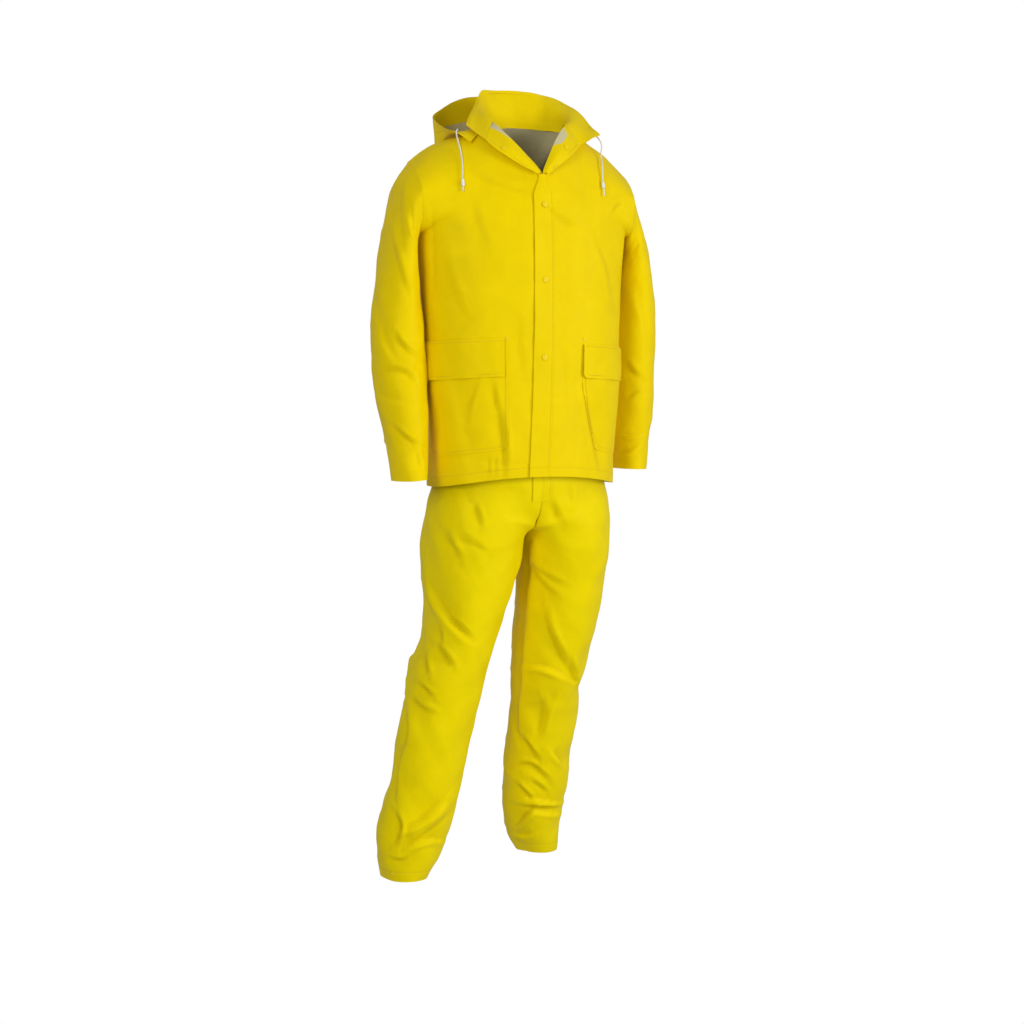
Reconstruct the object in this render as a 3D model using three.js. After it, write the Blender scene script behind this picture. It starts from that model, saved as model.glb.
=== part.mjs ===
// Two-piece rain suit as worn: a hooded snap-front jacket and straight trousers in stiff coated cloth.
// Millimetres, +Z up, the wearer faces -Y and the wearer's left is +X. Tables are written in heights
// above the wearer's floor, and the whole is lowered so that the origin is the middle of the neck base.
import * as THREE from "three";

// Sizes that drive the suit
const NECK_HEIGHT = 1560;
const CLOTH = 2.0;
const SEAM_GAP = 0.3;
const SLEEVE_GAP = 0.7;
const LAY_GAP = 0.5;
const SNAP_RADIUS = 6.0;
const SNAP_HEIGHT = 2.4;
const CORD_WIDTH = 3.0;

// Counts of the panel grids
const FRONT_COLUMNS = 10;
const NECK_COLUMNS = 8;
const LOWER_ROWS = 10;
const UPPER_ROWS = 9;
const LEG_COLUMNS = 10;

// Colours
const YELLOW = new THREE.MeshStandardMaterial({ name: "coated_cloth", color: 0xf2d600, roughness: 0.45 });
const SNAP_YELLOW = new THREE.MeshStandardMaterial({ name: "snap_plastic", color: 0xf7dc12, roughness: 0.3 });
const WHITE = new THREE.MeshStandardMaterial({ name: "cord_white", color: 0xf4f1e8, roughness: 0.8 });
const TIP_WHITE = new THREE.MeshStandardMaterial({ name: "tip_plastic", color: 0xf7f6f2, roughness: 0.35 });

// Small helpers on points
const mix = (a, b, t) => a + (b - a) * t;
const add = (p, q) => [p[0] + q[0], p[1] + q[1], p[2] + q[2]];
const sub = (p, q) => [p[0] - q[0], p[1] - q[1], p[2] - q[2]];
const scale = (p, k) => [p[0] * k, p[1] * k, p[2] * k];
const between = (p, q, t) => [mix(p[0], q[0], t), mix(p[1], q[1], t), mix(p[2], q[2], t)];
const cross = (p, q) => [
  p[1] * q[2] - p[2] * q[1],
  p[2] * q[0] - p[0] * q[2],
  p[0] * q[1] - p[1] * q[0],
];
const dot = (p, q) => p[0] * q[0] + p[1] * q[1] + p[2] * q[2];
const size = (p) => Math.hypot(p[0], p[1], p[2]);
const unit = (p) => scale(p, 1 / (size(p) || 1));

// A smooth curve through the rows of a table. The first column is the place along it.
function follow(rows, at) {
  const last = rows.length - 1;
  let i = 0;
  while (i < last - 1 && at > rows[i + 1][0]) {
    i += 1;
  }
  const rise = (k, c) => (rows[k + 1][c] - rows[k][c]) / (rows[k + 1][0] - rows[k][0]);
  const slope = (k, c) => {
    if (k === 0 || k === last) {
      return rise(Math.min(k, last - 1), c);
    }
    const before = rise(k - 1, c);
    const after = rise(k, c);
    return before * after > 0 ? (2 * before * after) / (before + after) : 0;
  };
  const width = rows[i + 1][0] - rows[i][0];
  const t = Math.min(Math.max((at - rows[i][0]) / width, 0), 1);
  const out = [];
  for (let c = 1; c < rows[0].length; c += 1) {
    const h00 = (1 + 2 * t) * (1 - t) ** 2;
    const h10 = t * (1 - t) ** 2;
    const h01 = t * t * (3 - 2 * t);
    const h11 = t * t * (t - 1);
    out.push(h00 * rows[i][c] + h10 * width * slope(i, c) + h01 * rows[i + 1][c] + h11 * width * slope(i + 1, c));
  }
  return out;
}

// Jacket body from the hem to the underarm. A row per level.
// [place, centre x, centre y, half width, front depth, back depth, height at side, at front, at back]
const BODY = [
  [0.0, -12, 25, 190, 139, 150, 894, 917, 899],
  [0.14, -11, 24, 191, 138, 149, 960, 978, 964],
  [0.4, -9, 21, 199, 134, 146, 1090, 1100, 1094],
  [0.72, -10, 20, 204, 132, 144, 1246, 1252, 1248],
  [1.0, -12, 26, 216, 136, 134, 1388, 1396, 1400],
];

// Centre line of the front opening, beside the body's own middle. [place, x]
const OPENING = [[0.0, -22], [0.4, -14], [0.72, -11], [1.0, -10]];

// A point of the body ring. The angle is 0 on the wearer's left and 90 at the front.
function bodyPoint(place, degrees) {
  const [cx, cy, half, front, back, side, ahead, behind] = follow(BODY, place);
  const c = Math.cos((degrees * Math.PI) / 180);
  const s = Math.sin((degrees * Math.PI) / 180);
  const depth = s > 0 ? front : back;
  const height = mix(side, s > 0 ? ahead : behind, s * s);
  return [cx + half * Math.sign(c) * Math.abs(c) ** 0.94, cy - depth * Math.sign(s) * Math.abs(s) ** 0.94, height];
}

// The ring angle of the front opening at a level
function openingAngle(place) {
  const [cx, , half] = follow(BODY, place);
  const [x] = follow(OPENING, place);
  const c = (x - cx) / half;
  return 90 - Math.sign(c) * (Math.asin(Math.abs(c) ** (1 / 0.94)) * 180) / Math.PI;
}

// Edges of the upper panels. [place, x, y, z]
const ARMHOLE_FRONT = {
  right: [[0, -228, 26, 1388], [0.12, -234, -14, 1391], [0.3, -238, -46, 1418], [0.55, -240, -52, 1462],
    [0.8, -242, -14, 1506], [1, -242, 45, 1528]],
  left: [[0, 204, 26, 1388], [0.12, 206, -12, 1390], [0.3, 206, -38, 1414], [0.55, 208, -40, 1452],
    [0.8, 216, -2, 1488], [1, 228, 54, 1508]],
};
const ARMHOLE_BACK = {
  right: [[0, -228, 26, 1388], [0.12, -230, 58, 1399], [0.3, -233, 94, 1424], [0.55, -236, 116, 1458],
    [0.8, -239, 96, 1502], [1, -242, 45, 1528]],
  left: [[0, 204, 26, 1388], [0.12, 206, 58, 1398], [0.3, 209, 96, 1420], [0.55, 216, 122, 1450],
    [0.8, 221, 104, 1484], [1, 228, 54, 1508]],
};
const SHOULDER = {
  right: [[0, -242, 45, 1528], [0.2, -214, 39, 1549], [0.45, -172, 31, 1570], [0.75, -118, 23, 1586],
    [1, -80, 18, 1595]],
  left: [[0, 228, 54, 1508], [0.2, 199, 50, 1533], [0.45, 162, 44, 1559], [0.75, 112, 30, 1581],
    [1, 76, 20, 1595]],
};
const INNER_EDGE = {
  right: [[0, -10, -110, 1396], [0.25, -9, -104, 1450], [0.4444, -9, -92, 1494], [0.62, -40, -79, 1540],
    [0.78, -70, -54, 1578], [0.89, -85, -16, 1602], [1, -80, 18, 1595]],
  left: [[0, -10, -110, 1396], [0.25, -9, -104, 1450], [0.4444, -9, -92, 1494], [0.62, 10, -80, 1540],
    [0.78, 38, -54, 1580], [0.89, 66, -16, 1602], [1, 76, 20, 1595]],
};
const NAPE = [[0, -80, 18, 1595], [0.22, -66, 54, 1601], [0.5, -1, 84, 1608], [0.78, 62, 55, 1601], [1, 76, 20, 1595]];

// Fills the upper part of a panel. Columns rise from the underarm level and lean in toward the shoulder,
// then the two outer edges pull the columns beside them onto their own lines.
function upperPatch(low, high, first, second, u, v, reachFirst, reachSecond) {
  const column = (s, t) => {
    const p = low(s, t);
    const q = high(s);
    const bend = [mix(p[0], q[0], 0.45), mix(p[1], q[1], 0.1), mix(p[2], q[2], 0.62)];
    return between(between(p, bend, t), between(bend, q, t), t);
  };
  const p = column(u, v);
  const a = scale(sub(first(v), column(0, v)), (1 - u) ** reachFirst);
  const b = scale(sub(second(v), column(1, v)), u ** reachSecond);
  return add(p, add(a, b));
}

// How far round the underarm ring an armhole point lies, in degrees
function ringTurn(p, depth) {
  const share = Math.abs(p[1] - 26) / depth;
  return (Math.asin(Math.min(share, 1)) * 180) / Math.PI;
}

// Upper rows of a front panel
function upperFront(side, u, v) {
  const start = (t) => {
    const p = follow(ARMHOLE_FRONT[side], t);
    const turn = p[1] < 26 ? ringTurn(p, 136) : -ringTurn(p, 136);
    return side === "right" ? 180 - turn : turn;
  };
  return upperPatch(
    (s, t) => bodyPoint(1, mix(start(t), openingAngle(1), s)),
    (s) => follow(SHOULDER[side], s),
    (t) => follow(ARMHOLE_FRONT[side], t),
    (t) => follow(INNER_EDGE[side], t),
    u,
    v,
    3,
    1.6,
  );
}

// Upper rows of the back panel
const BACK_COLUMNS = 2 * FRONT_COLUMNS + NECK_COLUMNS;
function backTop(column) {
  if (column <= FRONT_COLUMNS) {
    return follow(SHOULDER.right, column / FRONT_COLUMNS);
  }
  if (column >= FRONT_COLUMNS + NECK_COLUMNS) {
    return follow(SHOULDER.left, (BACK_COLUMNS - column) / FRONT_COLUMNS);
  }
  return follow(NAPE, (column - FRONT_COLUMNS) / NECK_COLUMNS);
}
function upperBack(column, v) {
  const turn = (side, t) => ringTurn(follow(ARMHOLE_BACK[side], t), 134);
  return upperPatch(
    (s, t) => bodyPoint(1, mix(180 + turn("right", t), 360 - turn("left", t), s)),
    (s) => backTop(s * BACK_COLUMNS),
    (t) => follow(ARMHOLE_BACK.right, t),
    (t) => follow(ARMHOLE_BACK.left, t),
    column / BACK_COLUMNS,
    v,
    6,
    6,
  );
}

// Whole panels as grids, each row from the wearer's outer side to the opening
function frontGrid(side) {
  const rows = [];
  const startAngle = side === "right" ? 180 : 0;
  for (let r = 0; r < LOWER_ROWS; r += 1) {
    const place = r / LOWER_ROWS;
    const row = [];
    for (let c = 0; c <= FRONT_COLUMNS; c += 1) {
      row.push(bodyPoint(place, mix(startAngle, openingAngle(place), c / FRONT_COLUMNS)));
    }
    rows.push(row);
  }
  for (let r = 0; r <= UPPER_ROWS; r += 1) {
    const row = [];
    for (let c = 0; c <= FRONT_COLUMNS; c += 1) {
      row.push(upperFront(side, c / FRONT_COLUMNS, r / UPPER_ROWS));
    }
    rows.push(row);
  }
  return rows;
}
function backGrid() {
  const rows = [];
  for (let r = 0; r < LOWER_ROWS; r += 1) {
    const row = [];
    for (let c = 0; c <= BACK_COLUMNS; c += 1) {
      row.push(bodyPoint(r / LOWER_ROWS, 180 + (180 * c) / BACK_COLUMNS));
    }
    rows.push(row);
  }
  for (let r = 0; r <= UPPER_ROWS; r += 1) {
    const row = [];
    for (let c = 0; c <= BACK_COLUMNS; c += 1) {
      row.push(upperBack(c, r / UPPER_ROWS));
    }
    rows.push(row);
  }
  return rows;
}

// Sleeves: a row per section, from just below the armhole to the cuff.
// [place, inner x, inner z, outer x, outer z, middle y, front depth, back depth, share of the armhole's shape]
const SLEEVE = {
  right: [
    [1, -232, 1358, -268, 1487, 38, 86, 80, 0.55],
    [2, -229, 1320, -285, 1420, 41, 83, 79, 0.2],
    [3, -223.5, 1274, -299, 1336, 42, 80, 78, 0.05],
    [4, -217.5, 1216, -309, 1254, 40, 77, 76, 0],
    [5, -214, 1150, -316, 1174, 35, 74, 72, 0],
    [6, -213.5, 1086, -313, 1096, 26, 71, 68, 0],
    [7, -215.5, 1022, -303, 1024, 12, 66, 62, 0],
    [8, -220, 964, -296, 964, -4, 60, 56, 0],
    [9, -225, 913, -290, 909, -17, 56, 52, 0],
  ],
  left: [
    [1, 209, 1356, 242, 1448, 52, 80, 78, 0.55],
    [2, 208, 1318, 261, 1394, 61, 79, 77, 0.2],
    [3, 207, 1272, 280, 1320, 69, 78, 76, 0.05],
    [4, 204, 1214, 294, 1246, 77, 76, 75, 0],
    [5, 202, 1150, 298, 1170, 83, 73, 72, 0],
    [6, 201, 1086, 298, 1094, 86, 70, 68, 0],
    [7, 202, 1024, 294, 1026, 85, 66, 63, 0],
    [8, 205, 968, 286, 968, 82, 60, 57, 0],
    [9, 208, 920, 279, 918, 78, 56, 53, 0],
  ],
};
const SLEEVE_STEPS = 2;
function sleeveGrid(side) {
  const loop = [];
  for (let r = 0; r <= UPPER_ROWS; r += 1) {
    loop.push(follow(ARMHOLE_FRONT[side], r / UPPER_ROWS));
  }
  for (let r = UPPER_ROWS - 1; r > 0; r -= 1) {
    loop.push(follow(ARMHOLE_BACK[side], r / UPPER_ROWS));
  }
  const low = loop[0];
  const high = loop[UPPER_ROWS];
  const oval = (inner, outer, front, back, k) => {
    const turn = (Math.PI * k) / UPPER_ROWS;
    const middle = between(inner, outer, 0.5 - 0.5 * Math.cos(turn));
    const deep = Math.sin(turn) > 0 ? front : back;
    return [middle[0], middle[1] - deep * Math.sin(turn), middle[2]];
  };
  const outward = side === "right" ? -1 : 1;
  const rows = [loop.map((p) => [p[0] + outward * SLEEVE_GAP, p[1], p[2]])];
  const count = (SLEEVE[side].length - 1) * SLEEVE_STEPS;
  for (let s = 0; s <= count; s += 1) {
    const [inX, inZ, outX, outZ, y, front, back, share] = follow(SLEEVE[side], 1 + s / SLEEVE_STEPS);
    rows.push(
      loop.map((p, k) => {
        const q = oval([inX, y, inZ], [outX, y, outZ], front, back, k);
        const start = oval(low, high, 90, 84, k);
        return add(q, scale(sub(p, start), Math.max(share, 0)));
      }),
    );
  }
  return rows;
}

// Trousers: a row per level. Below the crotch the front and back inner points are the inseam.
// [height, middle x, front middle y, back middle y, front reach y, back reach y, share of leg shape]
const SEAT = [
  [1085, -10, -62, 135, -62, 135, 0], [1040, -10, -74, 142, -74, 142, 0], [990, -10, -88, 148, -88, 148, 0],
  [940, -10, -96, 152, -96, 152, 0], [902, -10, -97, 153, -97, 153, 0], [868, -10, -91, 148, -96, 151, 0.35],
  [838, -10, -76, 134, -94, 149, 0.7], [814, -10, -42, 106, -92, 147, 1], [796, -10, 46, 50, -90, 146, 1],
];
const HIP = {
  right: [[1085, -152, 42], [1040, -159, 42], [990, -168, 42], [940, -178, 42], [902, -186, 42], [868, -195, 42],
    [838, -201, 43], [814, -206, 44], [796, -209, 44]],
  left: [[1085, 136, 42], [1040, 143, 42], [990, 152, 43], [940, 162, 45], [902, 170, 46], [868, 175, 48],
    [838, 177, 50], [814, 178, 52], [796, 179, 53]],
};
// [height, side x, side y, inseam x, inseam y, front depth, back depth]
const LEG = {
  right: [
    [741, -211, 45, -15, 48, 126, 104],
    [662, -208, 42, -42, 46, 116, 99],
    [592, -213, 38, -66, 42, 104, 92],
    [530, -242, 38, -83, 42, 98, 84],
    [463, -249, 38, -101, 42, 88, 80],
    [380, -265, 42, -118, 46, 77, 80],
    [312, -271, 50, -129, 54, 74, 79],
    [255, -290, 57, -142, 60, 73, 77],
    [190, -300, 65, -157, 68, 71, 74],
    [145, -297, 70, -174, 72, 67, 70],
    [104, -289, 76, -196, 78, 60, 62],
  ],
  left: [
    [712, 172, 58, -1, 56, 124, 102],
    [634, 164, 65, -4, 62, 114, 97],
    [557, 148, 75, -6, 72, 104, 89],
    [506, 140, 83, -4, 82, 98, 83],
    [472, 132, 90, -3, 88, 90, 80],
    [420, 138, 101, -2, 99, 76, 78],
    [360, 134, 116, -3, 113, 74, 78],
    [299, 129, 132, -4, 130, 72, 77],
    [250, 131, 145, -1, 143, 71, 76],
    [212, 128, 156, 2, 154, 70, 74],
    [160, 122, 171, 14, 169, 66, 70],
    [112, 124, 184, 40, 182, 58, 61],
  ],
};

function bezier(p, a, b, q, t) {
  const s = 1 - t;
  return [0, 1].map((i) => s * s * s * p[i] + 3 * s * s * t * a[i] + 3 * s * t * t * b[i] + t * t * t * q[i]);
}

// One row of a trouser panel, from the side seam round to the middle seam or the inseam
function trouserRow(side, face, level) {
  const sign = side === "right" ? 1 : -1;
  const row = [];
  let start;
  let end;
  let reach;
  let share;
  let height;
  if (level < SEAT.length) {
    const [z, x, frontY, backY, frontReach, backReach, leg] = SEAT[level];
    const hip = HIP[side][level];
    height = z;
    start = [hip[1], hip[2]];
    end = [x, face === "front" ? frontY : backY];
    reach = face === "front" ? frontReach : backReach;
    share = leg;
    if (level === SEAT.length - 1) {
      end = [x, 48];
    }
  } else {
    const leg = LEG[side][level - SEAT.length];
    height = leg[0];
    start = [leg[1], leg[2]];
    end = [leg[3], leg[4]];
    reach = face === "front" ? start[1] - leg[5] : start[1] + leg[6];
    share = 1;
  }
  const ring = 0.5523;
  const tube = 4 / 3;
  const a = [start[0], start[1] - mix(ring * (start[1] - end[1]), tube * (start[1] - reach), share)];
  const lean = Math.cos((share * Math.PI) / 2) * ring * Math.abs(start[0] - end[0]);
  const b = [end[0] - sign * lean, end[1] - share * tube * (end[1] - reach)];
  for (let c = 0; c <= LEG_COLUMNS; c += 1) {
    const p = bezier(start, a, b, end, c / LEG_COLUMNS);
    row.push([p[0], p[1], height]);
  }
  return row;
}
function trouserGrid(side, face) {
  const rows = [];
  for (let level = 0; level < SEAT.length + LEG[side].length; level += 1) {
    rows.push(trouserRow(side, face, level));
  }
  return rows;
}

// Collar: a row per station along the neck seam. It stands, rolls and lies open, so its inside shows.
// [station, seam x, y, z, roll x, y, z, free edge x, y, z]
const COLLAR = [
  [0, -111, -56, 1565, -125, -30, 1584, -136, -6, 1600],
  [1, -101, -34, 1589, -111, -8, 1604, -123, 16, 1616],
  [2, -87, -13, 1606, -96, 14, 1624, -107, 40, 1632],
  [3, -80, 20, 1599, -79, 42, 1634, -84, 78, 1660],
  [4, -54, 66, 1606, -57, 82, 1644, -62, 104, 1681],
  [5, 0, 86, 1610, 0, 98, 1647, 0, 113, 1684],
  [6, 52, 66, 1606, 58, 82, 1643, 62, 107, 1677],
  [7, 76, 22, 1599, 84, 46, 1632, 103, 82, 1660],
  [8, 70, -11, 1606, 96, 14, 1620, 127, 31, 1625],
  [9, 78, -31, 1587, 104, -14, 1601, 131, -4, 1601],
  [10, 85, -50, 1563, 112, -42, 1577, 137, -29, 1587],
];
const COLLAR_STEPS = 3;
const COLLAR_RISE = 5;
function acrossBand(k, t) {
  return follow([[0, k[0], k[1], k[2]], [0.5, k[3], k[4], k[5]], [1, k[6], k[7], k[8]]], t);
}
function collarGrid() {
  const rows = [];
  const count = (COLLAR.length - 1) * COLLAR_STEPS;
  for (let r = 0; r <= COLLAR_RISE; r += 1) {
    const row = [];
    for (let s = 0; s <= count; s += 1) {
      row.push(acrossBand(follow(COLLAR, s / COLLAR_STEPS), r / COLLAR_RISE));
    }
    rows.push(row);
  }
  return rows;
}

// Lapels: the top corners of the fronts, turned open along the roll of the neck edge.
// [place on the inner edge, middle x, y, z, free edge x, y, z]
const LAPEL = {
  right: [
    [0.475, -15, -94, 1505, -19, -95, 1501],
    [0.56, -38, -91, 1523, -47, -91, 1515],
    [0.68, -66, -79, 1549, -78, -82, 1534],
    [0.8, -86, -55, 1573, -98, -71, 1549],
    [0.885, -99, -37, 1587, -110.5, -57, 1563.5],
  ],
  left: [
    [0.475, -2, -94, 1505, 2, -95, 1501],
    [0.56, 13, -91, 1525, 22, -90, 1517],
    [0.68, 37, -79, 1551, 46, -82, 1533],
    [0.8, 62, -56, 1573, 68, -68, 1549],
    [0.885, 77, -34, 1585, 84.5, -51, 1561.5],
  ],
};
const LAPEL_LENGTH = 10;
const LAPEL_RISE = 3;
function lapelGrid(side) {
  const rows = [];
  const first = LAPEL[side][0][0];
  const last = LAPEL[side][LAPEL[side].length - 1][0];
  for (let r = 0; r <= LAPEL_RISE; r += 1) {
    const row = [];
    for (let s = 0; s <= LAPEL_LENGTH; s += 1) {
      const place = mix(first, last, s / LAPEL_LENGTH);
      const roll = follow(INNER_EDGE[side], place);
      const k = [roll[0], roll[1] - 0.4, roll[2] + 1.4, ...follow(LAPEL[side], place)];
      row.push(acrossBand(k, r / LAPEL_RISE));
    }
    rows.push(row);
  }
  return rows;
}

// Hood, hanging open behind the collar: a row per station from the right front corner to the left.
// [station, seam x, y, z, low x, y, z, belly x, y, z, rim x, y, z]
const HOOD = [
  [0, -112, -24, 1584, -121, -28, 1579, -130, -34, 1571, -137, -36, 1563],
  [1, -104, 2, 1602, -122, 2, 1593, -140, 0, 1587, -155, -5, 1583],
  [2, -96, 32, 1600, -126, 36, 1590, -154, 38, 1584, -169, 40, 1597],
  [3, -80, 48, 1604, -116, 92, 1556, -160, 104, 1562, -168, 98, 1621],
  [4, -54.5, 67.6, 1608.9, -84, 134, 1532, -122, 166, 1556, -130, 152, 1650],
  [5, -29.6, 81, 1611.5, -44, 156, 1522, -62, 196, 1556, -66, 178, 1676],
  [6, 0, 87.4, 1612.8, 0, 162, 1519, 0, 203, 1556, 0, 186, 1681],
  [7, 28.9, 80.9, 1611.4, 42, 156, 1522, 58, 196, 1552, 60, 178, 1668],
  [8, 52.8, 67.6, 1608.8, 80, 134, 1532, 110, 164, 1548, 114, 150, 1640],
  [9, 82, 52, 1602, 108, 94, 1556, 136, 106, 1558, 140, 96, 1604],
  [10, 104, 34, 1600, 122, 38, 1592, 134, 38, 1588, 140, 36, 1594],
  [11, 105, 2, 1600, 117, 0, 1592, 126, -4, 1588, 131, -8, 1586],
  [12, 85, -22, 1588, 90, -26, 1581, 93, -31, 1573, 97, -36, 1566],
];
const HOOD_STEPS = 2;
const HOOD_RISE = 7;
function hoodGrid() {
  const rows = [];
  const count = (HOOD.length - 1) * HOOD_STEPS;
  for (let r = 0; r <= HOOD_RISE; r += 1) {
    const row = [];
    for (let s = 0; s <= count; s += 1) {
      const k = follow(HOOD, s / HOOD_STEPS);
      const path = [[0, k[0], k[1], k[2]], [0.34, k[3], k[4], k[5]], [0.62, k[6], k[7], k[8]], [1, k[9], k[10], k[11]]];
      row.push(follow(path, r / HOOD_RISE));
    }
    rows.push(row);
  }
  return rows;
}

const panels = [];
function panel(name, grid, options = {}) {
  panels.push({ name, grid, loop: false, inside: 1, thick: CLOTH, gap: [0, 0, 0, 0], lift: 0, ...options });
}

// Normals of a grid, by its neighbours
function normalsOf(grid, loop, inside) {
  const rows = grid.length;
  const columns = grid[0].length;
  return grid.map((row, r) =>
    row.map((p, c) => {
      const up = grid[Math.min(r + 1, rows - 1)][c];
      const down = grid[Math.max(r - 1, 0)][c];
      const next = loop ? row[(c + 1) % columns] : row[Math.min(c + 1, columns - 1)];
      const before = loop ? row[(c + columns - 1) % columns] : row[Math.max(c - 1, 0)];
      return scale(unit(cross(sub(next, before), sub(up, down))), inside);
    }),
  );
}

// Joins the normals of panels that share a seam
function shareNormals(list) {
  const seams = new Map();
  const key = (p) => p.map((v) => Math.round(v * 2)).join(" ");
  for (const item of list) {
    item.normals = normalsOf(item.grid, item.loop, item.inside);
    item.grid.forEach((row, r) =>
      row.forEach((p, c) => {
        const edge = r === 0 || r === item.grid.length - 1 || (!item.loop && (c === 0 || c === row.length - 1));
        if (edge) {
          const k = key(item.shared ? item.shared(p, r, c) : p);
          seams.set(k, add(seams.get(k) || [0, 0, 0], item.normals[r][c]));
        }
      }),
    );
  }
  for (const item of list) {
    item.grid.forEach((row, r) =>
      row.forEach((p, c) => {
        const edge = r === 0 || r === item.grid.length - 1 || (!item.loop && (c === 0 || c === row.length - 1));
        const sum = edge && seams.get(key(item.shared ? item.shared(p, r, c) : p));
        if (sum && size(sum) > 0.3) {
          item.normals[r][c] = unit(sum);
        }
      }),
    );
  }
}

// Moves the edges of a panel back from its seams. Gaps are for first row, last row, first and last column.
function drawBack(item) {
  const { grid, gap } = item;
  const last = grid.length - 1;
  const end = grid[0].length - 1;
  const toward = (p, q, d) => add(p, scale(unit(sub(q, p)), d));
  const copy = grid.map((row) => row.map((p) => [...p]));
  for (let c = 0; c <= end; c += 1) {
    if (gap[0]) {
      copy[0][c] = toward(copy[0][c], grid[1][c], gap[0]);
    }
    if (gap[1]) {
      copy[last][c] = toward(copy[last][c], grid[last - 1][c], gap[1]);
    }
  }
  for (let r = 0; r <= last; r += 1) {
    if (gap[2]) {
      copy[r][0] = toward(copy[r][0], copy[r][1], gap[2]);
    }
    if (gap[3]) {
      copy[r][end] = toward(copy[r][end], copy[r][end - 1], gap[3]);
    }
  }
  item.grid = copy;
}

// A closed wall between a grid and its copy moved inward
function wallMesh(name, grid, normals, loop, inside, lift, thick, material) {
  const rows = grid.length;
  const columns = grid[0].length;
  const points = [];
  const faces = [];
  const put = (p) => points.push(p[0], p[1], p[2] - NECK_HEIGHT);
  grid.forEach((row, r) => row.forEach((p, c) => put(add(p, scale(normals[r][c], lift)))));
  grid.forEach((row, r) => row.forEach((p, c) => put(add(p, scale(normals[r][c], lift - thick)))));
  const shift = rows * columns;
  const at = (r, c) => r * columns + (c % columns);
  const quad = (a, b, c, d) => {
    if (inside > 0) {
      faces.push(a, b, c, a, c, d);
    } else {
      faces.push(a, c, b, a, d, c);
    }
  };
  const lastColumn = loop ? columns : columns - 1;
  for (let r = 0; r < rows - 1; r += 1) {
    for (let c = 0; c < lastColumn; c += 1) {
      quad(at(r, c), at(r, c + 1), at(r + 1, c + 1), at(r + 1, c));
      quad(shift + at(r, c), shift + at(r + 1, c), shift + at(r + 1, c + 1), shift + at(r, c + 1));
    }
  }
  for (let c = 0; c < lastColumn; c += 1) {
    quad(at(0, c), shift + at(0, c), shift + at(0, c + 1), at(0, c + 1));
    quad(at(rows - 1, c), at(rows - 1, c + 1), shift + at(rows - 1, c + 1), shift + at(rows - 1, c));
  }
  if (!loop) {
    for (let r = 0; r < rows - 1; r += 1) {
      quad(at(r, 0), at(r + 1, 0), shift + at(r + 1, 0), shift + at(r, 0));
      quad(at(r, columns - 1), shift + at(r, columns - 1), shift + at(r + 1, columns - 1), at(r + 1, columns - 1));
    }
  }
  const geometry = new THREE.BufferGeometry();
  geometry.setAttribute("position", new THREE.Float32BufferAttribute(points, 3));
  geometry.setIndex(faces);
  geometry.computeVertexNormals();
  const mesh = new THREE.Mesh(geometry, material);
  mesh.name = name;
  return mesh;
}

// Body panels, sleeves and trousers, which share their seams
const half = SEAM_GAP / 2;
const fronts = { right: frontGrid("right"), left: frontGrid("left") };
panel("jacket_front_right", fronts.right, { inside: 1, gap: [0, half, half, half] });
panel("jacket_front_left", fronts.left, { inside: -1, gap: [0, half, half, half] });
panel("jacket_back", backGrid(), { inside: -1, gap: [0, half, half, half] });
for (const side of ["right", "left"]) {
  const outward = side === "right" ? -1 : 1;
  panel(`sleeve_${side}`, sleeveGrid(side), {
    loop: true,
    inside: side === "right" ? 1 : -1,
    shared: (p, r) => (r === 0 ? [p[0] - outward * SLEEVE_GAP, p[1], p[2]] : p),
  });
}
for (const side of ["right", "left"]) {
  for (const face of ["front", "back"]) {
    panel(`trouser_${face}_${side}`, trouserGrid(side, face), {
      inside: (side === "right" ? -1 : 1) * (face === "front" ? 1 : -1),
      gap: [0, 0, half, half],
    });
  }
}

const suit = new THREE.Group();
suit.name = "rain_suit";
shareNormals(panels);
for (const item of panels) {
  drawBack(item);
  suit.add(wallMesh(item.name, item.grid, item.normals, item.loop, item.inside, item.lift, item.thick, YELLOW));
}

// Collar, lapels and hood
function band(name, grid, inside, material = YELLOW) {
  const normals = normalsOf(grid, false, inside);
  suit.add(wallMesh(name, grid, normals, false, inside, 0, CLOTH, material));
}
band("collar", collarGrid(), -1);
band("lapel_right", lapelGrid("right"), -1);
band("lapel_left", lapelGrid("left"), 1);
band("hood", hoodGrid(), -1);

// A point and its normal at a fractional row and column of a panel
function onPanel(item, r, c) {
  const r0 = Math.min(Math.floor(r), item.grid.length - 2);
  const c0 = Math.min(Math.floor(c), item.grid[0].length - 2);
  const blend = (g) =>
    between(between(g[r0][c0], g[r0][c0 + 1], c - c0), between(g[r0 + 1][c0], g[r0 + 1][c0 + 1], c - c0), r - r0);
  return { point: blend(item.grid), normal: unit(blend(item.normals)) };
}

// A piece that lies on a panel: its rows and columns are places on the panel's own grid
function laidOn(name, item, { rows, columns, ends }, lift, corner) {
  const grid = [];
  const normals = [];
  rows.forEach((r, i) => {
    const places = ends ? [...columns.slice(0, -3), ...ends[i]] : columns;
    const line = places.map((c, j) => {
      const pull = i === 0 && corner ? (j === 0 ? corner : j === columns.length - 1 ? -corner : 0) : 0;
      return onPanel(item, r, c + pull);
    });
    grid.push(line.map((k) => k.point));
    normals.push(line.map((k) => k.normal));
  });
  suit.add(wallMesh(name, grid, normals, false, item.inside, lift + CLOTH, CLOTH, YELLOW));
}
const find = (name) => panels.find((item) => item.name === name);
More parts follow.
